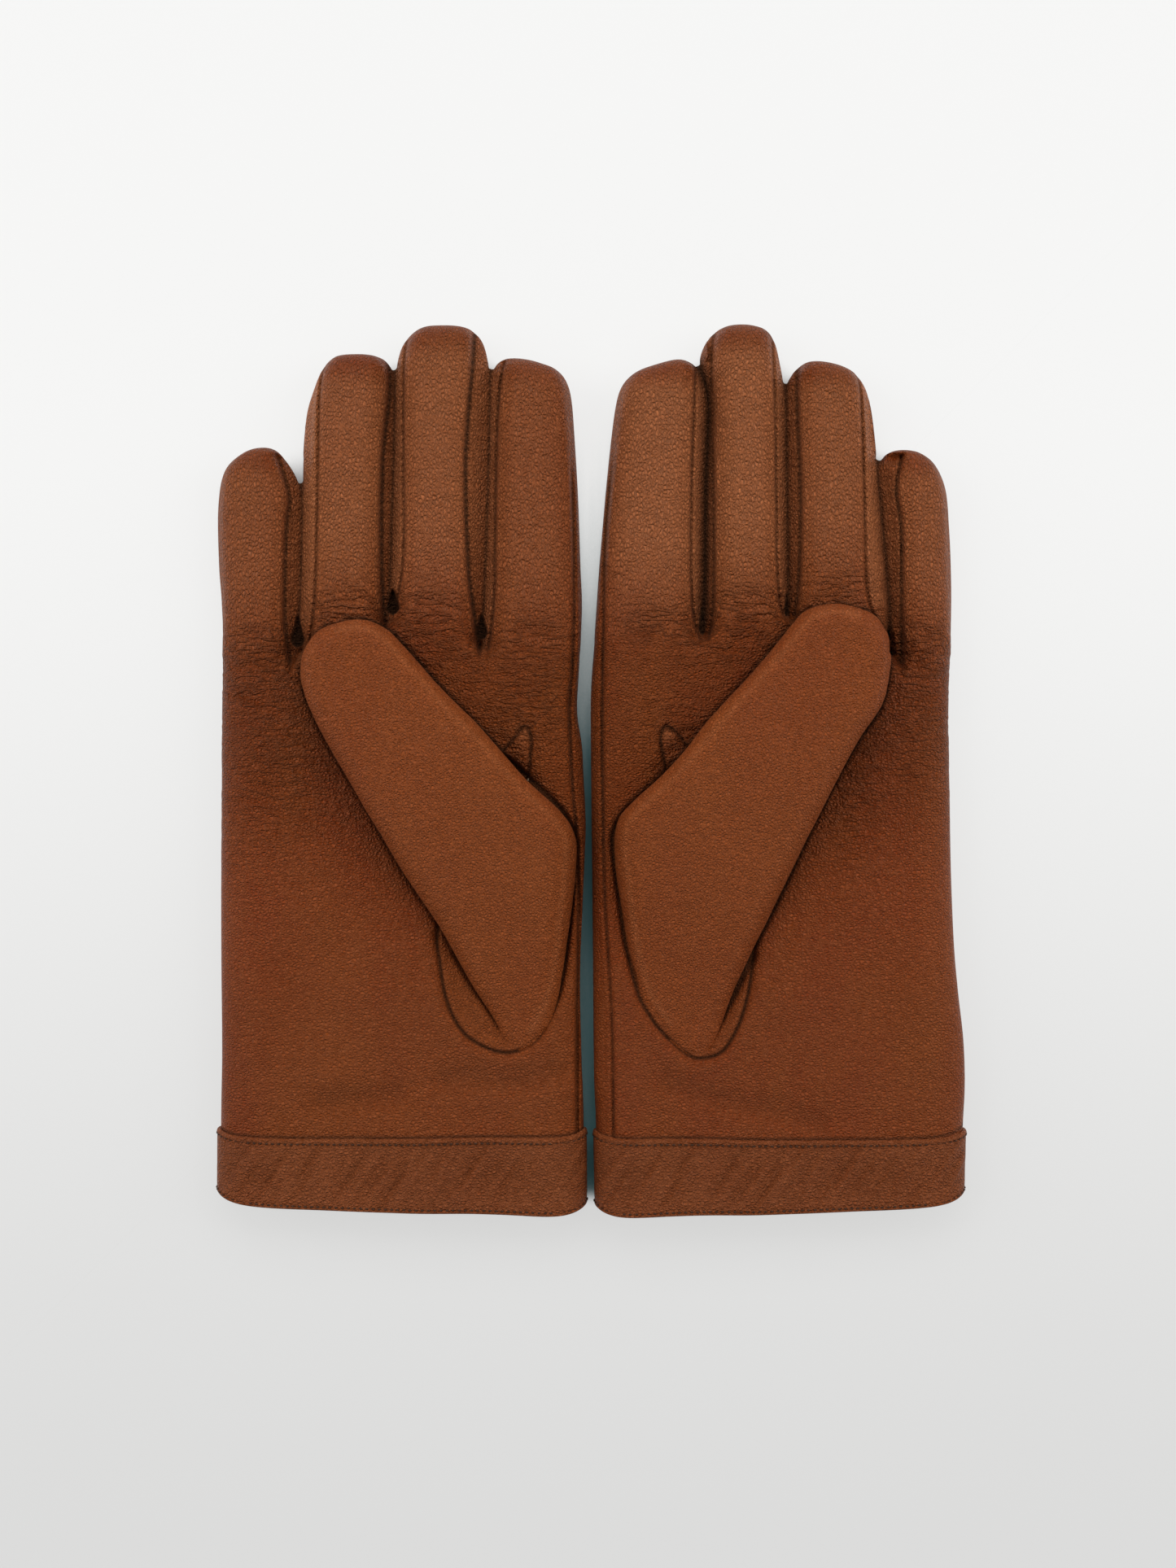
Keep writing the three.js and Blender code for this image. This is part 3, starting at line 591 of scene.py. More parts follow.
def make_fields(glove):
    """Everything that the plan of a glove says about its leather: profiles, thickness, dents and marks."""
    plan = Plan()
    U, Y = plan.U, plan.Y
    hand, side = hand_profile(glove, U, Y)
    opening = fork_holes(glove, U, Y)
    lips = np.minimum(1 - np.clip(opening / 2.4, 0, 1), 0.97)
    hand = np.minimum(np.maximum(hand, lips), 0.97 + 0.5 * np.maximum(opening - 0.5, 0))
    fingers, joined, finger_t = lay_fingers(glove, U, Y, lips)
    hand_t = np.interp(Y, [-130, -95, -60, 15, 45], [CUFF_T, PALM_T - 1.5, PALM_T, PALM_T, PALM_T - 1.2])
    to_fingers = smoothstep(Y, 20, 50)
    soft = 0.02 + 0.2 * smoothstep(-side, 3, 12)
    warm_u, warm_y, warm_tall = glove["warm"]
    f = {
        "plan": plan,
        "profile": smooth_min(hand, joined, soft),
        "thick": hand_t * (1 - to_fingers) + to_fingers * finger_t,
        "coarse": smoothstep(Y, -60, 25),
        "warm": np.exp(-(((U - warm_u) / 15) ** 2) - ((Y - warm_y) / warm_tall) ** 2),
        "hole": distance_to(glove["hole"], True, U, Y),
        "thumb": distance_to(glove["thumb"], True, U, Y),
    }
    for name in FINGERS:
        f[name] = smooth_min(hand, fingers[name], soft)
    for key in ("dent", "dark", "crease", "painted_sheen"):
        f[key] = np.zeros_like(U)
    press_crevices(f, glove, fingers)
    f["dent"] += 5.0 * smoothstep(-opening, -0.4, 0.6)
    # painted shade: the openings between the fingers are darkened to black
    darken(f, smoothstep(-opening, -0.7, 0.1))
    # painted shade: the palm is darkened towards the cuff
    darken(f, 0.17 * smoothstep(-Y, 25, 70))
    for name in FINGERS:
        sew_finger(f, glove, name, 0)
        sew_finger(f, glove, name, 1)
        shape_finger(f, glove, name)
    crease_palm(f, glove)
    sag_palm(f, glove, side)
    sew_thumb_in(f, glove)
    rest_thumb(f, glove)
    sew_outer_seam(f, glove)
    return f


class HandSkin:
    """The outside of a glove's hand and fingers: level is below 0 in the leather and above 0 outside it."""

    def __init__(self, fields, inset=0.0, part="profile"):
        self.f, self.inset, self.part = fields, inset, part

    def columns(self, u, y):
        f = self.f
        sample = f["plan"].sample
        dent = sample(f["dent"], u, y)
        return sample(f[self.part], u, y) + self.inset / 11, sample(f["thick"], u, y) / 2, dent

    def level(self, columns, z):
        a, half, dent = columns
        up = (z - half) / (half - self.inset)
        share = 0.05 + 0.95 * smoothstep(up, -0.1, 0.5)
        return (np.maximum(a, 0) ** POWER + np.abs(up) ** POWER) ** (1 / POWER) - 1 + share * dent / half


def palm_top(f, u, y):
    """Height of the palm's surface."""
    plan = f["plan"]
    a = np.clip(plan.sample(f["profile"], u, y), 0, 1)
    half = plan.sample(f["thick"], u, y) / 2
    return half * (1 + (1 - a**POWER) ** (1 / POWER)) - plan.sample(f["dent"], u, y)


class ThumbSkin:
    """The outside of the thumb, which lies on the palm and sinks into it towards the heel of the hand."""

    def __init__(self, fields, inset=0.0):
        self.f, self.inset = fields, inset

    def columns(self, u, y):
        f = self.f
        sample = f["plan"].sample
        rise = sample(f["thumb_rise"], u, y)
        sunk = sample(f["thumb_sunk"], u, y)
        middle = sample(f["palm"], u, y) + 0.36 * rise * (1 - sunk) - 2.5 * sunk
        above = np.maximum(rise * (0.64 + 0.36 * sunk) + 2.5 * sunk - self.inset, 0.8)
        below = np.maximum((0.36 * rise - 0.15) * (1 - sunk) + 3.0 * sunk - self.inset, 0.5)
        dent = sample(f["thumb_dent"], u, y)
        edge = 1 - np.clip(-(sample(f["thumb"], u, y) + self.inset) / 7.5, -9, 1)
        return edge, middle, above, below, dent

    def level(self, columns, z):
        a, middle, above, below, dent = columns
        zeta = np.where(z > middle, (z - middle) / above, (middle - z) / below)
        level = (np.maximum(a, 0) ** THUMB_POWER + np.abs(zeta) ** THUMB_POWER) ** (1 / THUMB_POWER) - 1
        return level + np.where(z > middle, dent / above, 0)


def add_thumb_fields(f, glove):
    plan = f["plan"]
    U, Y = plan.U, plan.Y
    t = down_thumb(glove, U, Y)
    f["palm"] = palm_top({**f, "dent": np.zeros_like(U)}, U, Y)
    f["thumb_rise"] = across(THUMB_RISE, t)
    f["thumb_sunk"] = smoothstep(t, 45, 90)
    tip = np.exp(-(((t + 2) / 16) ** 2))
    dent = 0.14 * noise(U / 7, Y / 7, 51) + 0.5 * noise(U / 24, Y / 26, 53)
    dent += tip * 0.10 * np.abs(noise((U + Y) / 2.2, (U - Y) / 9, 57))
    f["thumb_dent"] = dent


# ---- meshes ----
def polygonise(skin, low, high, step):
    """A mesh of quads where a skin's level is 0, found on a grid of the given step."""
    u, y, z = (np.arange(l, h + step, step) for l, h in zip(low, high))
    u, y, z = np.meshgrid(u, y, z, indexing="ij", sparse=True)
    field = skin.level(skin.columns(u, y), z).astype(np.float32)
    grid = openvdb.FloatGrid(3.0)
    grid.copyFromArray(np.clip(field, -0.9, 3.0))
    points, quads = grid.convertToQuads(isovalue=0.0)
    points = np.array(points, float) * step + np.array(low)
    return points, np.array(quads, int)[:, ::-1]


def settle(points, skin, rounds=2, reach=0.6):
    """Moves points onto a skin along its slope."""
    h = 0.15
    for _ in range(rounds):
        u, y, z = points.T
        here = skin.columns(u, y)
        level = skin.level(here, z)
        slope = np.stack([
            skin.level(skin.columns(u + h, y), z) - level,
            skin.level(skin.columns(u, y + h), z) - level,
            skin.level(here, z + h) - level,
        ], 1) / h
        size = np.maximum((slope**2).sum(1), 1e-4)
        move = -slope * (level / size)[:, None]
        far = np.linalg.norm(move, axis=1, keepdims=True)
        points = points + move * np.minimum(1, reach / np.maximum(far, 1e-9))
    return points


def vertex_normals(points, quads):
    a, b, c, d = (points[quads[:, k]] for k in range(4))
    face = np.cross(c - a, d - b)
    out = np.zeros_like(points)
    for k in range(4):
        np.add.at(out, quads[:, k], face)
    return out / np.maximum(np.linalg.norm(out, axis=1, keepdims=True), 1e-12)


def place(glove, points):
    """From a glove's own frame to the row frame, in metres."""
    out = np.array(points, float)
    out[:, 0] = glove["centre"] + glove["facing"] * out[:, 0]
    out[:, 1] += glove["shift"]
    return out * MM


def make_object(name, glove, points, faces, material, normals=None, attributes=None):
    """A mesh object from points in a glove's frame, with its rest place kept for the material."""
    flipped = glove["facing"] < 0
    used, index = np.unique(faces, return_inverse=True)
    faces = index.reshape(faces.shape)
    if flipped:
        faces = faces[:, ::-1]
    pts = points[used]
    mesh = bpy.data.meshes.new(name)
    mesh.vertices.add(len(pts))
    mesh.vertices.foreach_set("co", place(glove, pts).astype(np.float32).ravel())
    size = faces.shape[1]
    mesh.loops.add(faces.size)
    mesh.loops.foreach_set("vertex_index", faces.astype(np.int32).ravel())
    mesh.polygons.add(len(faces))
    mesh.polygons.foreach_set("loop_start", np.arange(0, faces.size, size, dtype=np.int32))
    mesh.update(calc_edges=True)
    mesh.validate()
    mesh.polygons.foreach_set("use_smooth", np.ones(len(mesh.polygons), bool))
    rest = mesh.attributes.new("rest", "FLOAT_VECTOR", "POINT")
    rest.data.foreach_set("vector", (place(glove, pts) / MM).astype(np.float32).ravel())
    for key, values in (attributes or {}).items():
        layer = mesh.attributes.new(key, "FLOAT", "POINT")
        layer.data.foreach_set("value", values[used].astype(np.float32))
    if normals is not None:
        n = normals[used].copy()
        n[:, 0] *= glove["facing"]
        mesh.normals_split_custom_set_from_vertices(n.astype(np.float32).tolist())
    obj = bpy.data.objects.new(name, mesh)
    bpy.context.scene.collection.objects.link(obj)
    mesh.materials.append(material)
    return obj


# ---- materials ----
def nodes_of(name):
    """A new material with one Principled shader wired to its output."""
    material = bpy.data.materials.new(name)
    material.use_nodes = True
    tree = material.node_tree
    tree.nodes.clear()
    shader = tree.nodes.new("ShaderNodeBsdfPrincipled")
    out = tree.nodes.new("ShaderNodeOutputMaterial")
    tree.links.new(shader.outputs["BSDF"], out.inputs["Surface"])
    return material, tree, shader


def attribute(tree, name):
    node = tree.nodes.new("ShaderNodeAttribute")
    node.attribute_name = name
    return node


def texture(tree, kind, vector, **inputs):
    node = tree.nodes.new(f"ShaderNodeTex{kind}")
    for key, value in inputs.items():
        node.inputs[key.replace("_", " ")].default_value = value
    tree.links.new(vector, node.inputs["Vector"])
    return node


def math_node(tree, kind, a, b):
    node = tree.nodes.new("ShaderNodeMath")
    node.operation = kind
    for socket, value in zip(node.inputs, (a, b)):
        if isinstance(value, (int, float)):
            socket.default_value = value
        else:
            tree.links.new(value, socket)
    return node.outputs[0]


def mix_colour(tree, factor, a, b):
    node = tree.nodes.new("ShaderNodeMix")
    node.data_type = "RGBA"
    for socket, value in ((node.inputs[0], factor), (node.inputs[6], a), (node.inputs[7], b)):
        if isinstance(value, (int, float)):
            socket.default_value = value
        elif isinstance(value, tuple):
            socket.default_value = (*value, 1)
        else:
            tree.links.new(value, socket)
    return node.outputs[2]


def ramp(tree, value, low, high):
    node = tree.nodes.new("ShaderNodeMapRange")
    node.inputs["From Min"].default_value = low
    node.inputs["From Max"].default_value = high
    tree.links.new(value, node.inputs["Value"])
    return node.outputs["Result"]


def stretched(tree, vector, scale):
    node = tree.nodes.new("ShaderNodeMapping")
    node.inputs["Scale"].default_value = scale
    tree.links.new(vector, node.inputs["Vector"])
    return node.outputs["Vector"]


def warped(tree, vector, scale, amount):
    """The vector pushed about by noise, so that a regular texture loses its straightness."""
    push = texture(tree, "Noise", vector, Scale=scale, Detail=2.0).outputs["Color"]
    node = tree.nodes.new("ShaderNodeMix")
    node.data_type = "VECTOR"
    node.inputs[0].default_value = amount
    tree.links.new(vector, node.inputs[4])
    add = tree.nodes.new("ShaderNodeVectorMath")
    tree.links.new(vector, add.inputs[0])
    tree.links.new(push, add.inputs[1])
    tree.links.new(add.outputs["Vector"], node.inputs[5])
    return node.outputs[1]


def leather(name, base, red, light, stretch=(1, 1, 1), grain=1.0, lines=0.45, rough=0.39):
    """Nappa leather: patchy colour, fine grain pulled one way, creases where it folds, painted shade in
    seams, crevices and creases, and painted highlight and glints.
    """
    material, tree, shader = nodes_of(name)
    links = tree.links

    def times(a, b):
        return math_node(tree, "MULTIPLY", a, b)

    def plus(a, b):
        return math_node(tree, "ADD", a, b)

    rest = attribute(tree, "rest").outputs["Vector"]
    dark = attribute(tree, "dark").outputs["Fac"]
    creased = attribute(tree, "crease").outputs["Fac"]
    painted_sheen = attribute(tree, "painted_sheen").outputs["Fac"]
    coarse = plus(times(attribute(tree, "coarse").outputs["Fac"], 0.55 * grain), 0.45 * grain)
    pulled = warped(tree, stretched(tree, rest, stretch), 0.7, 0.5)

    streaks = stretched(tree, rest, (1.6, 0.6, 1))
    patches = texture(tree, "Noise", streaks, Scale=0.024, Detail=3.0, Roughness=0.55).outputs["Fac"]
    mottle = texture(tree, "Noise", rest, Scale=0.35, Detail=4.0, Roughness=0.6).outputs["Fac"]
    cells = tree.nodes.new("ShaderNodeTexVoronoi")
    cells.feature = "DISTANCE_TO_EDGE"
    cells.inputs["Scale"].default_value = 1.0
    links.new(pulled, cells.inputs["Vector"])
    pebbles = ramp(tree, cells.outputs["Distance"], 0.0, 0.34)
    pores = texture(tree, "Noise", pulled, Scale=2.6, Detail=3.0, Roughness=0.65).outputs["Fac"]
    wrinkles = texture(tree, "Noise", pulled, Scale=0.55, Detail=4.0, Roughness=0.62, Distortion=0.6)
    wrinkles = wrinkles.outputs["Fac"]
    across_grain = warped(tree, stretched(tree, rest, (0.27, 0.85, 1)), 0.3, 0.9)
    folds = texture(tree, "Noise", across_grain, Scale=0.5, Detail=3.0, Roughness=0.5).outputs["Fac"]
    folds = ramp(tree, math_node(tree, "ABSOLUTE", plus(folds, -0.5), 0.0), 0.0, 0.075)
    crossed = times(math_node(tree, "SUBTRACT", 1.0, folds), creased)

    warm = attribute(tree, "warm").outputs["Fac"]
    reddened = math_node(tree, "MAXIMUM", ramp(tree, patches, 0.36, 0.66), warm)
    between = math_node(tree, "SUBTRACT", 1.0, pebbles)
    colour = mix_colour(tree, reddened, base, red)
    colour = mix_colour(tree, times(ramp(tree, mottle, 0.35, 0.75), 0.35), colour, light)
    # painted highlight: this field mixes the colour towards a light tan
    colour = mix_colour(tree, times(painted_sheen, 0.5), colour, SHEEN_PAINT)
    colour = mix_colour(tree, times(between, lines), colour, scaled(base, 0.35))
    # painted glints: light specks on the grain in the painted highlight's colour
    colour = mix_colour(tree, times(ramp(tree, pores, 0.5, 0.8), times(coarse, 0.07)), colour, SHEEN_PAINT)
    # painted shade in the crease lines
    colour = mix_colour(tree, times(crossed, 0.4), colour, scaled(base, 0.3))
    # painted shade: the dark field mixes the colour towards near-black
    colour = mix_colour(tree, times(dark, 0.94), colour, scaled(base, 0.04))
    links.new(colour, shader.inputs["Base Color"])

    gloss = plus(times(mottle, 0.16), rough - 0.08)
    gloss = plus(gloss, times(between, 0.15))
    links.new(plus(gloss, times(dark, 0.3)), shader.inputs["Roughness"])
    shader.inputs["Specular IOR Level"].default_value = 0.42
    shader.inputs["Specular Tint"].default_value = (1.0, 0.6, 0.36, 1)

    height = plus(times(pebbles, times(coarse, 1.3)), times(pores, times(coarse, 0.5)))
    height = plus(height, times(wrinkles, times(coarse, 3.4)))
    height = plus(height, times(crossed, -2.8))
    bump = tree.nodes.new("ShaderNodeBump")
    bump.inputs["Strength"].default_value = 1.0
    bump.inputs["Distance"].default_value = 0.0005
    links.new(height, bump.inputs["Height"])
    links.new(bump.outputs["Normal"], shader.inputs["Normal"])
    return material


def scaled(colour, amount):
    return tuple(amount * c for c in colour)


def cloth(name, base, dark, scale, rough, sheen):
    """Knitted lining or twisted thread."""
    material, tree, shader = nodes_of(name)
    rest = attribute(tree, "rest").outputs["Vector"]
    weave = texture(tree, "Wave", rest, Scale=scale, Distortion=1.5, Detail=2.0).outputs["Fac"]
    fuzz = texture(tree, "Noise", rest, Scale=1.7, Detail=4.0).outputs["Fac"]
    tree.links.new(mix_colour(tree, weave, dark, base), shader.inputs["Base Color"])
    shader.inputs["Roughness"].default_value = rough
    shader.inputs["Sheen Weight"].default_value = sheen
    shader.inputs["Specular Tint"].default_value = (1.0, 0.72, 0.5, 1)
    bump = tree.nodes.new("ShaderNodeBump")
    bump.inputs["Strength"].default_value = 0.6
    bump.inputs["Distance"].default_value = 0.0003
    tree.links.new(math_node(tree, "ADD", weave, fuzz), bump.inputs["Height"])
    tree.links.new(bump.outputs["Normal"], shader.inputs["Normal"])
    return material


# the leather's colours: its own, the redder patches, the lighter mottling, and the colour of its painted
# highlight
BASE = (0.232, 0.0455, 0.0055)
RED = (0.205, 0.029, 0.003)
LIGHT = (0.29, 0.074, 0.018)
SHEEN_PAINT = (0.44, 0.142, 0.05)
# the side walls' colours are lighter than BASE as painted highlight on the fourchettes
WALL = ((0.265, 0.066, 0.018), (0.23, 0.052, 0.013), LIGHT)
THUMB = ((0.25, 0.0515, 0.007), (0.225, 0.041, 0.0056), (0.29, 0.068, 0.0135))
GUSSET = ((0.22, 0.047, 0.0085), RED, LIGHT)
CUFF = ((0.19, 0.044, 0.0105), (0.165, 0.034, 0.0072), (0.24, 0.064, 0.018))
MATERIALS = {
    "hand": leather("palm_leather", BASE, RED, LIGHT, (0.9, 1.25, 1), 1.35, 0.5),
    "strip": leather("finger_leather", BASE, RED, LIGHT, (1.2, 0.75, 1), 1.35, 0.46),
    "back": leather("back_leather", BASE, RED, LIGHT, (1, 1.2, 1)),
    "wall": leather("side_wall_leather", *WALL, (1.3, 0.8, 1), 1.2),
    "thumb": leather("thumb_leather", *THUMB, (1.15, 1.2, 1), 1.9, 0.33),
    "quirk": leather("quirk_leather", *GUSSET, (1, 1, 1), 1.1),
    "cuff": leather("cuff_leather", *CUFF, (0.9, 1.2, 1), 1.6, 0.36),
    "lining": cloth("lining_knit", (0.36, 0.25, 0.16), (0.2, 0.13, 0.08), 0.9, 0.9, 0.3),
    "thread": cloth("thread", (0.045, 0.012, 0.005), (0.02, 0.006, 0.003), 2.5, 0.5, 0.0),
}


# ---- the leather body of a glove, cut into its pieces ----
def finger_of(glove, u, y):
    """Which finger's column a place lies in, counted from the little finger."""
    return sum((u > along_line(glove["lines"][i], y)).astype(int) for i in (1, 2, 3))


def finger_pieces(f, glove, name, centre):
    """Which piece each face of a finger's skin belongs to, empty for leather of the hand."""
    u, y, z = centre.T
    i = FINGERS.index(name)
    names = np.full(len(u), "", dtype=object)
    inside = y > glove["roots"][name] - 0.5
    if i > 0:
        inside &= (u > along_line(glove["lines"][i], y)) | (y > glove["lines"][i][1] + 2)
    if i < 3:
        inside &= (u <= along_line(glove["lines"][i + 1], y)) | (y > glove["lines"][i + 1][1] + 2)
    top = z > f["plan"].sample(f["thick"], u, y) * 0.62
    names[inside & top] = "little_strip" if i == 0 else f"{name}_palm_strip"
    names[inside & ~top] = "little_strip" if i == 0 else f"{name}_back_strip"
    end = glove["tips"][name] - 3.0
    outer_seam, inner_seam = glove["seams"][name]
    if outer_seam is not None:
        names[inside & (u < across(outer_seam, y)) & (y < end)] = f"{name}_fourchette_outer"
    if inner_seam is not None:
        names[inside & (u > across(inner_seam, y)) & (y < end)] = f"{name}_fourchette_thumbside"
    return names


def hand_pieces(f, glove, centre):
    u, y, z = centre.T
    plan = f["plan"]
    column = finger_of(glove, u, y)
    roots = np.array([glove["roots"][name] for name in FINGERS])
    names = np.where(y > roots[column] - 0.5, "", "hand_trank").astype(object)
    high = (z > plan.sample(f["thick"], u, y) * 0.6) & (names != "")
    names[(plan.sample(f["hole"], u, y) < 0) & high] = "thumb_shell"
    spread = [tuple(p) for p in smooth_curve(glove["quirk"], True, 3.0)]
    names[(distance_to(spread, True, u, y) < 0) & high] = "thumb_quirk"
    names[y < glove["mouth"] + 6] = ""
    return names


LOOK = {
    "hand_trank": "hand", "thumb_shell": "thumb", "thumb_quirk": "quirk", "strip": "strip",
    "palm_strip": "strip", "back_strip": "back", "fourchette_outer": "wall", "fourchette_thumbside": "wall",
}


def look_of(piece):
    return LOOK.get(piece) or LOOK[piece.split("_", 1)[1]]


def point(glove, u, y, z):
    return tuple(place(glove, np.array([[u, y, z]]))[0])


def on_thumb(glove, t):
    """The place that lies so far down the thumb from its tip."""
    tip_u, tip_y, foot_u, foot_y = glove["axis"]
    share = t / math.hypot(foot_u - tip_u, foot_y - tip_y)
    return point(glove, tip_u + (foot_u - tip_u) * share, tip_y + (foot_y - tip_y) * share, 20)


def attach(obj, side, glove, piece):
    """Ties a piece to the hand's body, but a finger's piece or the thumb's shell or lining only has its place
    baked into its mesh.
    """
    body = piece.split("_")[0]
    if body in FINGERS:
        root = glove["roots"][body]
        below, above = point(glove, 0, root, 9), point(glove, 0, root + BEND, 9)
        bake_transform(obj)
    elif piece.startswith("thumb_shell") or piece.startswith("thumb_lining"):
        on_thumb(glove, 76)
        on_thumb(glove, 18)
        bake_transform(obj)
    else:
        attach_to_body(obj, f"{side}_hand")


def on_lattice(value):
    return round(value / VOXEL) * VOXEL


def make_skin(skin, low, high):
    points, quads = polygonise(skin, [on_lattice(v) for v in low], [on_lattice(v) for v in high], VOXEL)
    points = settle(points, skin)
    return points, quads, vertex_normals(points, quads)


def make_piece(side, glove, f, piece, points, quads, normals, marks=1.0):
    """One piece of leather, with its painted shade, painted highlight, creases, grain size and redder patch
    kept for its material.
    """
    u, y, z = points.T
    top = smoothstep(z, 3, 7)
    attributes = {key: f["plan"].sample(f[key], u, y) * top * marks for key in ("dark", "crease")}
    on_palm = f["plan"].sample(f["painted_sheen"], u, y)
    attributes["painted_sheen"] = on_palm * marks + f["plan"].sample(f["rim"], u, y) * (1 - marks)
    attributes["coarse"] = f["plan"].sample(f["coarse"], u, y) * marks
    attributes["warm"] = f["plan"].sample(f["warm"], u, y) * marks
    look = look_of(piece)
    obj = make_object(f"{side}_{piece}_leather", glove, points, quads, MATERIALS[look], normals, attributes)
    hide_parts(f"{side}_{piece}")
    attach(obj, side, glove, piece)


def make_leather(side, glove):
    f = make_fields(glove)
    add_thumb_fields(f, glove)
    for name in FINGERS:
        us = [p[0] for p in glove["outlines"][name]]
        low = (min(us) - 3, glove["roots"][name] - 4, -1.5)
        high = (max(us) + 3, glove["tips"][name] + 3, PALM_T + 2.5)
        points, quads, normals = make_skin(HandSkin(f, part=name), low, high)
        names = finger_pieces(f, glove, name, points[quads].mean(1))
        for piece in sorted(set(names) - {""}):
            make_piece(side, glove, f, piece, points, quads[names == piece], normals)
    low = (-58, glove["mouth"] - 3, -1.5)
    points, quads, normals = make_skin(HandSkin(f), low, (58, 58, PALM_T + 2.5))
    thumb = make_skin(ThumbSkin(f), *THUMB_SPACE)
    names = hand_pieces(f, glove, points[quads].mean(1))
    make_piece(side, glove, f, "hand_trank", points, quads[names == "hand_trank"], normals)
    make_piece(side, glove, f, "thumb_quirk", points, quads[names == "thumb_quirk"], normals)
    pad = quads[names == "thumb_shell"]
    both = np.vstack([points, thumb[0]])
    faces = np.vstack([pad, thumb[1] + len(points)])
    on_pad = np.concatenate([np.ones(len(points)), np.zeros(len(thumb[0]))])
    make_piece(side, glove, f, "thumb_shell", both, faces, np.vstack([normals, thumb[2]]), on_pad)
    make_linings(side, glove, f)
    make_cuff(side, glove)


def make_linings(side, glove, f):
    """Linings follow the leather a little way inside it."""
    low, high = (-58, glove["mouth"] - 3, -1.5), (58, 132, PALM_T + 2.5)
    points, quads = polygonise(HandSkin(f, LINING_IN), low, high, LINING_STEP)
    u, y, _ = points[quads].mean(1).T
    column = finger_of(glove, u, y)
    roots = np.array([glove["roots"][name] for name in FINGERS])
    in_fingers = np.array([f"{name}_lining" for name in FINGERS], dtype=object)[column]
    names = np.where(y > roots[column], in_fingers, "hand_lining").astype(object)
    names[y < glove["mouth"] + 10] = ""
    for piece in sorted(set(names) - {""}):
        put_lining(side, glove, piece, points, quads[names == piece])
    points, quads = polygonise(ThumbSkin(f, LINING_IN), *THUMB_SPACE, LINING_STEP)
    put_lining(side, glove, "thumb_lining", points, quads)


def put_lining(side, glove, piece, points, quads):
    obj = make_object(f"{side}_{piece}_knit", glove, points, quads, MATERIALS["lining"])
    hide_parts(f"{side}_{piece}")
    attach(obj, side, glove, piece)


# ---- the cuff ----
def ring(glove, y, grow, count=(56, 190)):
    """Points round the hand at y, grown outwards, and how near each is to the side."""
    left, right = across(glove["little_edge"], y), across(glove["thumb_edge"], y)
    half_u, middle_u = (right - left) / 2 + grow, (right + left) / 2
    half_z, round_u = (CUFF_T + 1.0) / 2 + grow - 0.8, 13.0 + grow
    middle_z = (CUFF_T + 1.0) / 2
    caps, flats = count
    angle = np.linspace(-np.pi / 2, np.pi / 2, caps)
    a = np.abs(np.cos(angle)) ** (2 / POWER)
    zeta = np.sign(np.sin(angle)) * np.abs(np.sin(angle)) ** (2 / POWER)
    cap_u, cap_z = half_u - round_u + round_u * a, middle_z + half_z * zeta
    flat = np.linspace(half_u - round_u, -(half_u - round_u), flats)[1:-1]
    u = np.concatenate([cap_u, flat, -cap_u[::-1], flat[::-1]]) + middle_u
    top, bottom = np.full(len(flat), middle_z + half_z), np.full(len(flat), middle_z - half_z)
    z = np.concatenate([cap_z, top, cap_z[::-1], bottom])
    near = np.exp(-(half_u - np.abs(u - middle_u)) / 4.0)
    return u, z, near


def cuff_y(glove, y, u, near):
    """Rows of the band bow up where they round the sides."""
    share = np.clip((y - glove["mouth"]) / (glove["band_top"] - glove["mouth"]), 0, 1)
    bow = near * (3.6 - 1.4 * share)
    tilt = -glove["mouth_tilt"] * u * (1 - share)
    sway = 0.35 * noise(u / 26 + 5, np.full_like(u, y / 40), 61)
    return y + bow + tilt + sway + MOUTH_LIFT * (1 - share)


def band_rows(glove):
    """(y, growth) down the band's outside, round the mouth and up its inside."""
    top, mouth = glove["band_top"], glove["mouth"]
    rows = [(top - 1.0, -1.0), (top - 0.1, -0.6), (top + 0.25, 0.0)]
    rows += [(top + 0.2, 0.5), (top - 0.15, 0.8), (top - 0.7, 0.95)]
    rows += [(top - 1.0, 0.85), (top - STITCH_IN[0], 0.68), (top - 1.8, 0.74), (top - 2.5, 0.8)]
    rows += [(y, 0.82) for y in np.linspace(top - 3.6, mouth + 3.4, 18)]
    rows += [(mouth + 2.4, 0.78), (mouth + 1.7, 0.72), (mouth + STITCH_IN[1], 0.64), (mouth + 0.8, 0.76)]
    rows += [(mouth + 0.5, 0.8), (mouth + 0.25, 0.7)]
    rows += [(mouth + 0.1, 0.4), (mouth, 0.0), (mouth + 0.1, -0.5)]
    rows += [(mouth + 0.5, -0.9), (mouth + 1.4, -1.05)]
    rows += [(y, -1.1) for y in np.linspace(mouth + 3, mouth + 13, 6)]
    return rows


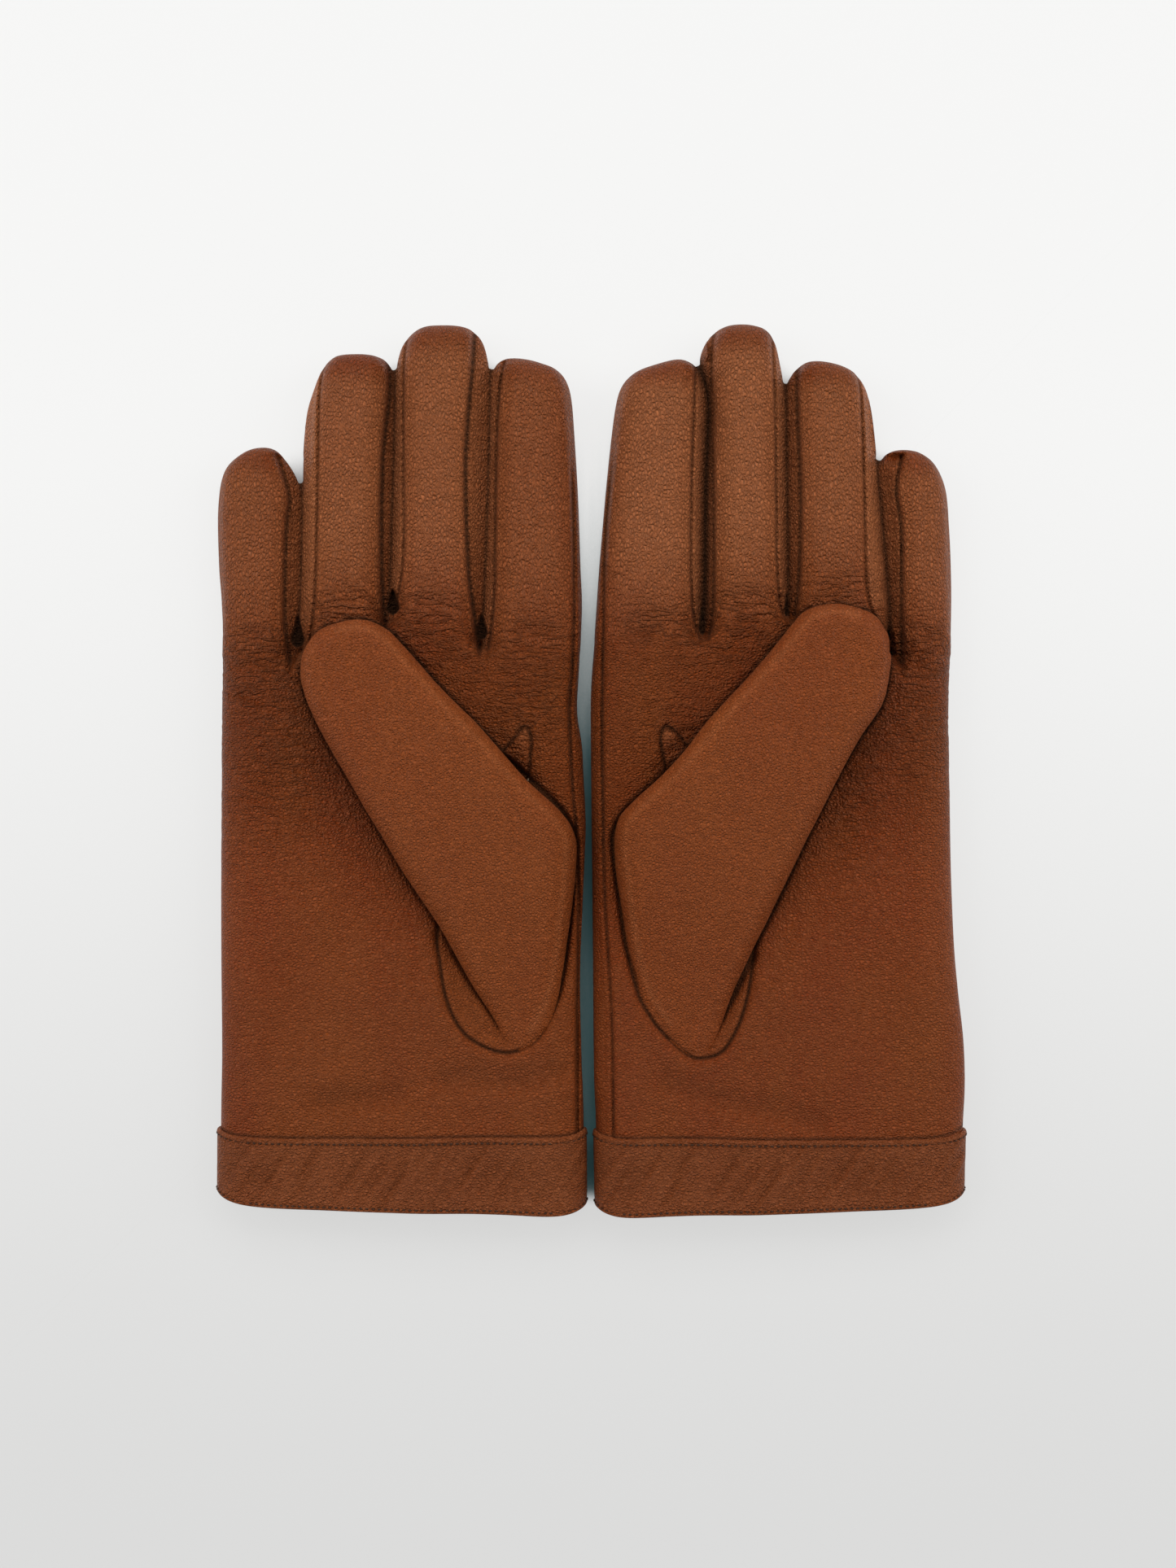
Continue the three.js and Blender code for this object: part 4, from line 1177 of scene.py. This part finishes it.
def make_cuff(side, glove):
    """The band as one sheet, round the hand row by row, and its two rows of stitches."""
    rows = band_rows(glove)
    points, dark = [], []
    for y, grow in rows:
        u, z, near = ring(glove, y, grow)
        yy = cuff_y(glove, y, u, near)
        slant = u * glove["facing"]
        ripples = np.abs(noise((0.83 * slant - 0.55 * yy) / 1.7, (0.55 * slant + 0.83 * yy) / 20, 73))
        share = (y - glove["mouth"]) / (glove["band_top"] - glove["mouth"])
        calm_ends = math.sin(math.pi * min(max(share, 0), 1))
        z = z + (0.25 * noise(u / 13, yy / 9, 71) - 0.8 * calm_ends * ripples) * smoothstep(z, 6, 12)
        points.append(np.stack([u, yy, z], 1))
        # the band is a little darker along its stitch rows, and painted shade darkens the hollows of its
        # ripples
        stitch = min(abs(y - glove["band_top"] + STITCH_IN[0]), abs(y - glove["mouth"] - STITCH_IN[1]))
        sewn = 0.05 * math.exp(-((stitch / 0.4) ** 2)) if grow > 0 else 0.0
        dark.append(sewn + 0.16 * calm_ends * ripples)
    n = len(points[0])
    points, dark = np.concatenate(points), np.concatenate(dark)
    i = np.arange(n)
    quads = []
    for r in range(len(rows) - 1):
        a, b = r * n + i, r * n + (i + 1) % n
        quads.append(np.stack([a, b, b + n, a + n], 1))
    quads = np.concatenate(quads)
    normals = vertex_normals(points, quads)
    marks = {"dark": dark}
    obj = make_object(f"{side}_cuff_band_leather", glove, points, quads, MATERIALS["cuff"], normals, marks)
    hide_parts(f"{side}_cuff_band")
    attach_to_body(obj, f"{side}_hand")
    make_stitches(side, glove, "cuff_upper_thread", glove["band_top"] - STITCH_IN[0])
    make_stitches(side, glove, "cuff_hem_thread", glove["mouth"] + STITCH_IN[1])


def make_stitches(side, glove, node, y):
    """A row of single stitches, each a short bowed length of thread, evenly spaced round the cuff."""
    u, z, near = ring(glove, y, 0.66, (120, 400))
    path = np.stack([u, cuff_y(glove, y, u, near), z], 1)
    path = np.vstack([path, path[:1]])
    lengths = np.concatenate([[0], np.cumsum(np.linalg.norm(np.diff(path, axis=0), axis=1))])
    total = lengths[-1]
    pitch = total / round(total / STITCH_PITCH)

    def at(s):
        return np.stack([np.interp(s % total, lengths, path[:, k]) for k in range(3)], -1)

    turns, rings = 6, 7  # sides of a stitch, and rings of points along it
    points, quads = [], []
    rng = np.random.default_rng(len(node) + int(glove["centre"] > 0))
    middle = np.array([0.0, 0.0, (CUFF_T + 1) / 2])
    for k in range(round(total / pitch)):
        s = k * pitch + rng.uniform(-0.06, 0.06)
        start, end = at(s), at(s + STITCH_LONG)
        along = end - start
        out = (start + end) / 2 - middle
        out[1] = 0
        out[0] = out[0] if abs(out[0]) > 44 else 0
        out /= np.linalg.norm(out)
        across_way = np.cross(along / np.linalg.norm(along), out)
        for r in range(rings):
            t = r / (rings - 1)
            swell = math.sin(math.pi * min(max(t, 0.04), 0.96)) ** 0.5
            centre = start + along * t + out * (0.16 * math.sin(math.pi * t) + 0.02)
            for q in range(turns):
                angle = 2 * math.pi * q / turns
                way = math.cos(angle) * out + math.sin(angle) * across_way
                points.append(centre + THREAD_R * swell * way)
        first = len(points) - rings * turns
        for r in range(rings - 1):
            for q in range(turns):
                a, b = first + r * turns + q, first + r * turns + (q + 1) % turns
                quads.append((a, b, b + turns, a + turns))
    points, quads = np.array(points), np.array(quads)
    obj = make_object(f"{side}_{node}_stitches", glove, points, quads, MATERIALS["thread"])
    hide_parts(f"{side}_{node}")
    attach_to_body(obj, f"{side}_hand")


# ---- floor, light and camera ----
def map_range(tree, value, from_min, from_max, to_min, to_max, kind="LINEAR"):
    node = tree.nodes.new("ShaderNodeMapRange")
    node.interpolation_type = kind
    node.inputs["From Min"].default_value = from_min
    node.inputs["From Max"].default_value = from_max
    node.inputs["To Min"].default_value = to_min
    node.inputs["To Max"].default_value = to_max
    tree.links.new(value, node.inputs["Value"])
    return node.outputs["Result"]


def floor_material():
    """A pale floor that gives off most of its own light, so that shadows stay faint.

    Its light fades towards the cuffs and where something stands close above it, and in the narrow space
    between the gloves (aside is 1 there) what is left is blue-green.
    """
    material, tree, shader = nodes_of("pale_floor")
    shader.inputs["Roughness"].default_value = 0.7
    open_sky = tree.nodes.new("ShaderNodeAmbientOcclusion")
    open_sky.inputs["Distance"].default_value = 0.014
    open_sky.samples = 16
    split = tree.nodes.new("ShaderNodeSeparateXYZ")
    tree.links.new(tree.nodes.new("ShaderNodeTexCoord").outputs["Object"], split.inputs[0])
    fall = map_range(tree, split.outputs["Y"], -0.24, 0.12, 0.575, 0.755, "SMOOTHSTEP")
    deeper = map_range(tree, split.outputs["Y"], -0.03, 0.05, 0.17, 0.0)
    aside = ramp(tree, math_node(tree, "ABSOLUTE", split.outputs["X"], 0.0), 0.016, 0.009)
    lost = math_node(tree, "MULTIPLY", deeper, aside)
    light_left = ramp(tree, math_node(tree, "SUBTRACT", open_sky.outputs["AO"], lost), 0.1, 0.4)
    shade = mix_colour(tree, aside, (0.2, 0.2, 0.2), (0.1, 0.27, 0.29))
    tree.links.new(mix_colour(tree, light_left, shade, (0.1, 0.1, 0.1)), shader.inputs["Base Color"])
    shader.inputs["Emission Color"].default_value = (1.0, 1.0, 0.99, 1)
    tree.links.new(math_node(tree, "MULTIPLY", fall, light_left), shader.inputs["Emission Strength"])
    return material


def make_floor():
    mesh = bpy.data.meshes.new("floor")
    size = 12.0
    corners = [(-size, -size, 0), (size, -size, 0), (size, size, 0), (-size, size, 0)]
    mesh.from_pydata(corners, [], [(0, 1, 2, 3)])
    mesh.materials.append(floor_material())
    floor = bpy.data.objects.new("floor", mesh)
    bpy.context.scene.collection.objects.link(floor)
    floor.location.z = -0.0002


def make_world():
    """White from all round, brighter near the horizon than overhead."""
    world = bpy.data.worlds.new("studio")
    bpy.context.scene.world = world
    world.use_nodes = True
    tree = world.node_tree
    background = tree.nodes["Background"]
    background.inputs["Color"].default_value = (1, 1, 1, 1)
    way = tree.nodes.new("ShaderNodeSeparateXYZ")
    tree.links.new(tree.nodes.new("ShaderNodeTexCoord").outputs["Generated"], way.inputs[0])
    sky = map_range(tree, way.outputs["Z"], 0.22, 0.6, 0.7, 0.2, "SMOOTHSTEP")
    tree.links.new(sky, background.inputs["Strength"])


def soft_light(name, place_at, size_u, size_v, power):
    """A rectangular lamp facing the middle of the pair."""
    data = bpy.data.lights.new(name, "AREA")
    data.shape = "RECTANGLE"
    data.size, data.size_y, data.energy = size_u, size_v, power
    lamp = bpy.data.objects.new(name, data)
    bpy.context.scene.collection.objects.link(lamp)
    lamp.location = place_at
    lamp.rotation_mode = "QUATERNION"
    lamp.rotation_quaternion = (-lamp.location).to_track_quat("-Z", "Y")


def make_lights():
    soft_light("top_light", (0.0, 2.1, 2.4), 3.6, 1.8, 72.0)
    soft_light("left_light", (-1.8, 0.45, 1.08), 1.35, 2.4, 30.0)
    soft_light("right_light", (1.8, 0.45, 1.08), 1.35, 2.4, 30.0)


def make_camera():
    """Looks straight down, from above the middle of the pair but for a few millimetres."""
    data = bpy.data.cameras.new("camera")
    data.lens = 56.0
    data.sensor_width = 36.0
    camera = bpy.data.objects.new("camera", data)
    bpy.context.scene.collection.objects.link(camera)
    low, high = CAD_BOX
    camera.location = ((low.x + high.x) / 2 - 0.001, (low.y + high.y) / 2 - 0.0038, 0.71)
    bpy.context.scene.camera = camera
    bpy.context.scene.view_settings.view_transform = "Standard"


make_camera()
make_floor()
make_world()
make_lights()
for side, glove in GLOVES.items():
    glove["shift"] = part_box(f"{side}_cuff_band")[0].y / MM - glove["mouth"]
    make_leather(side, glove)
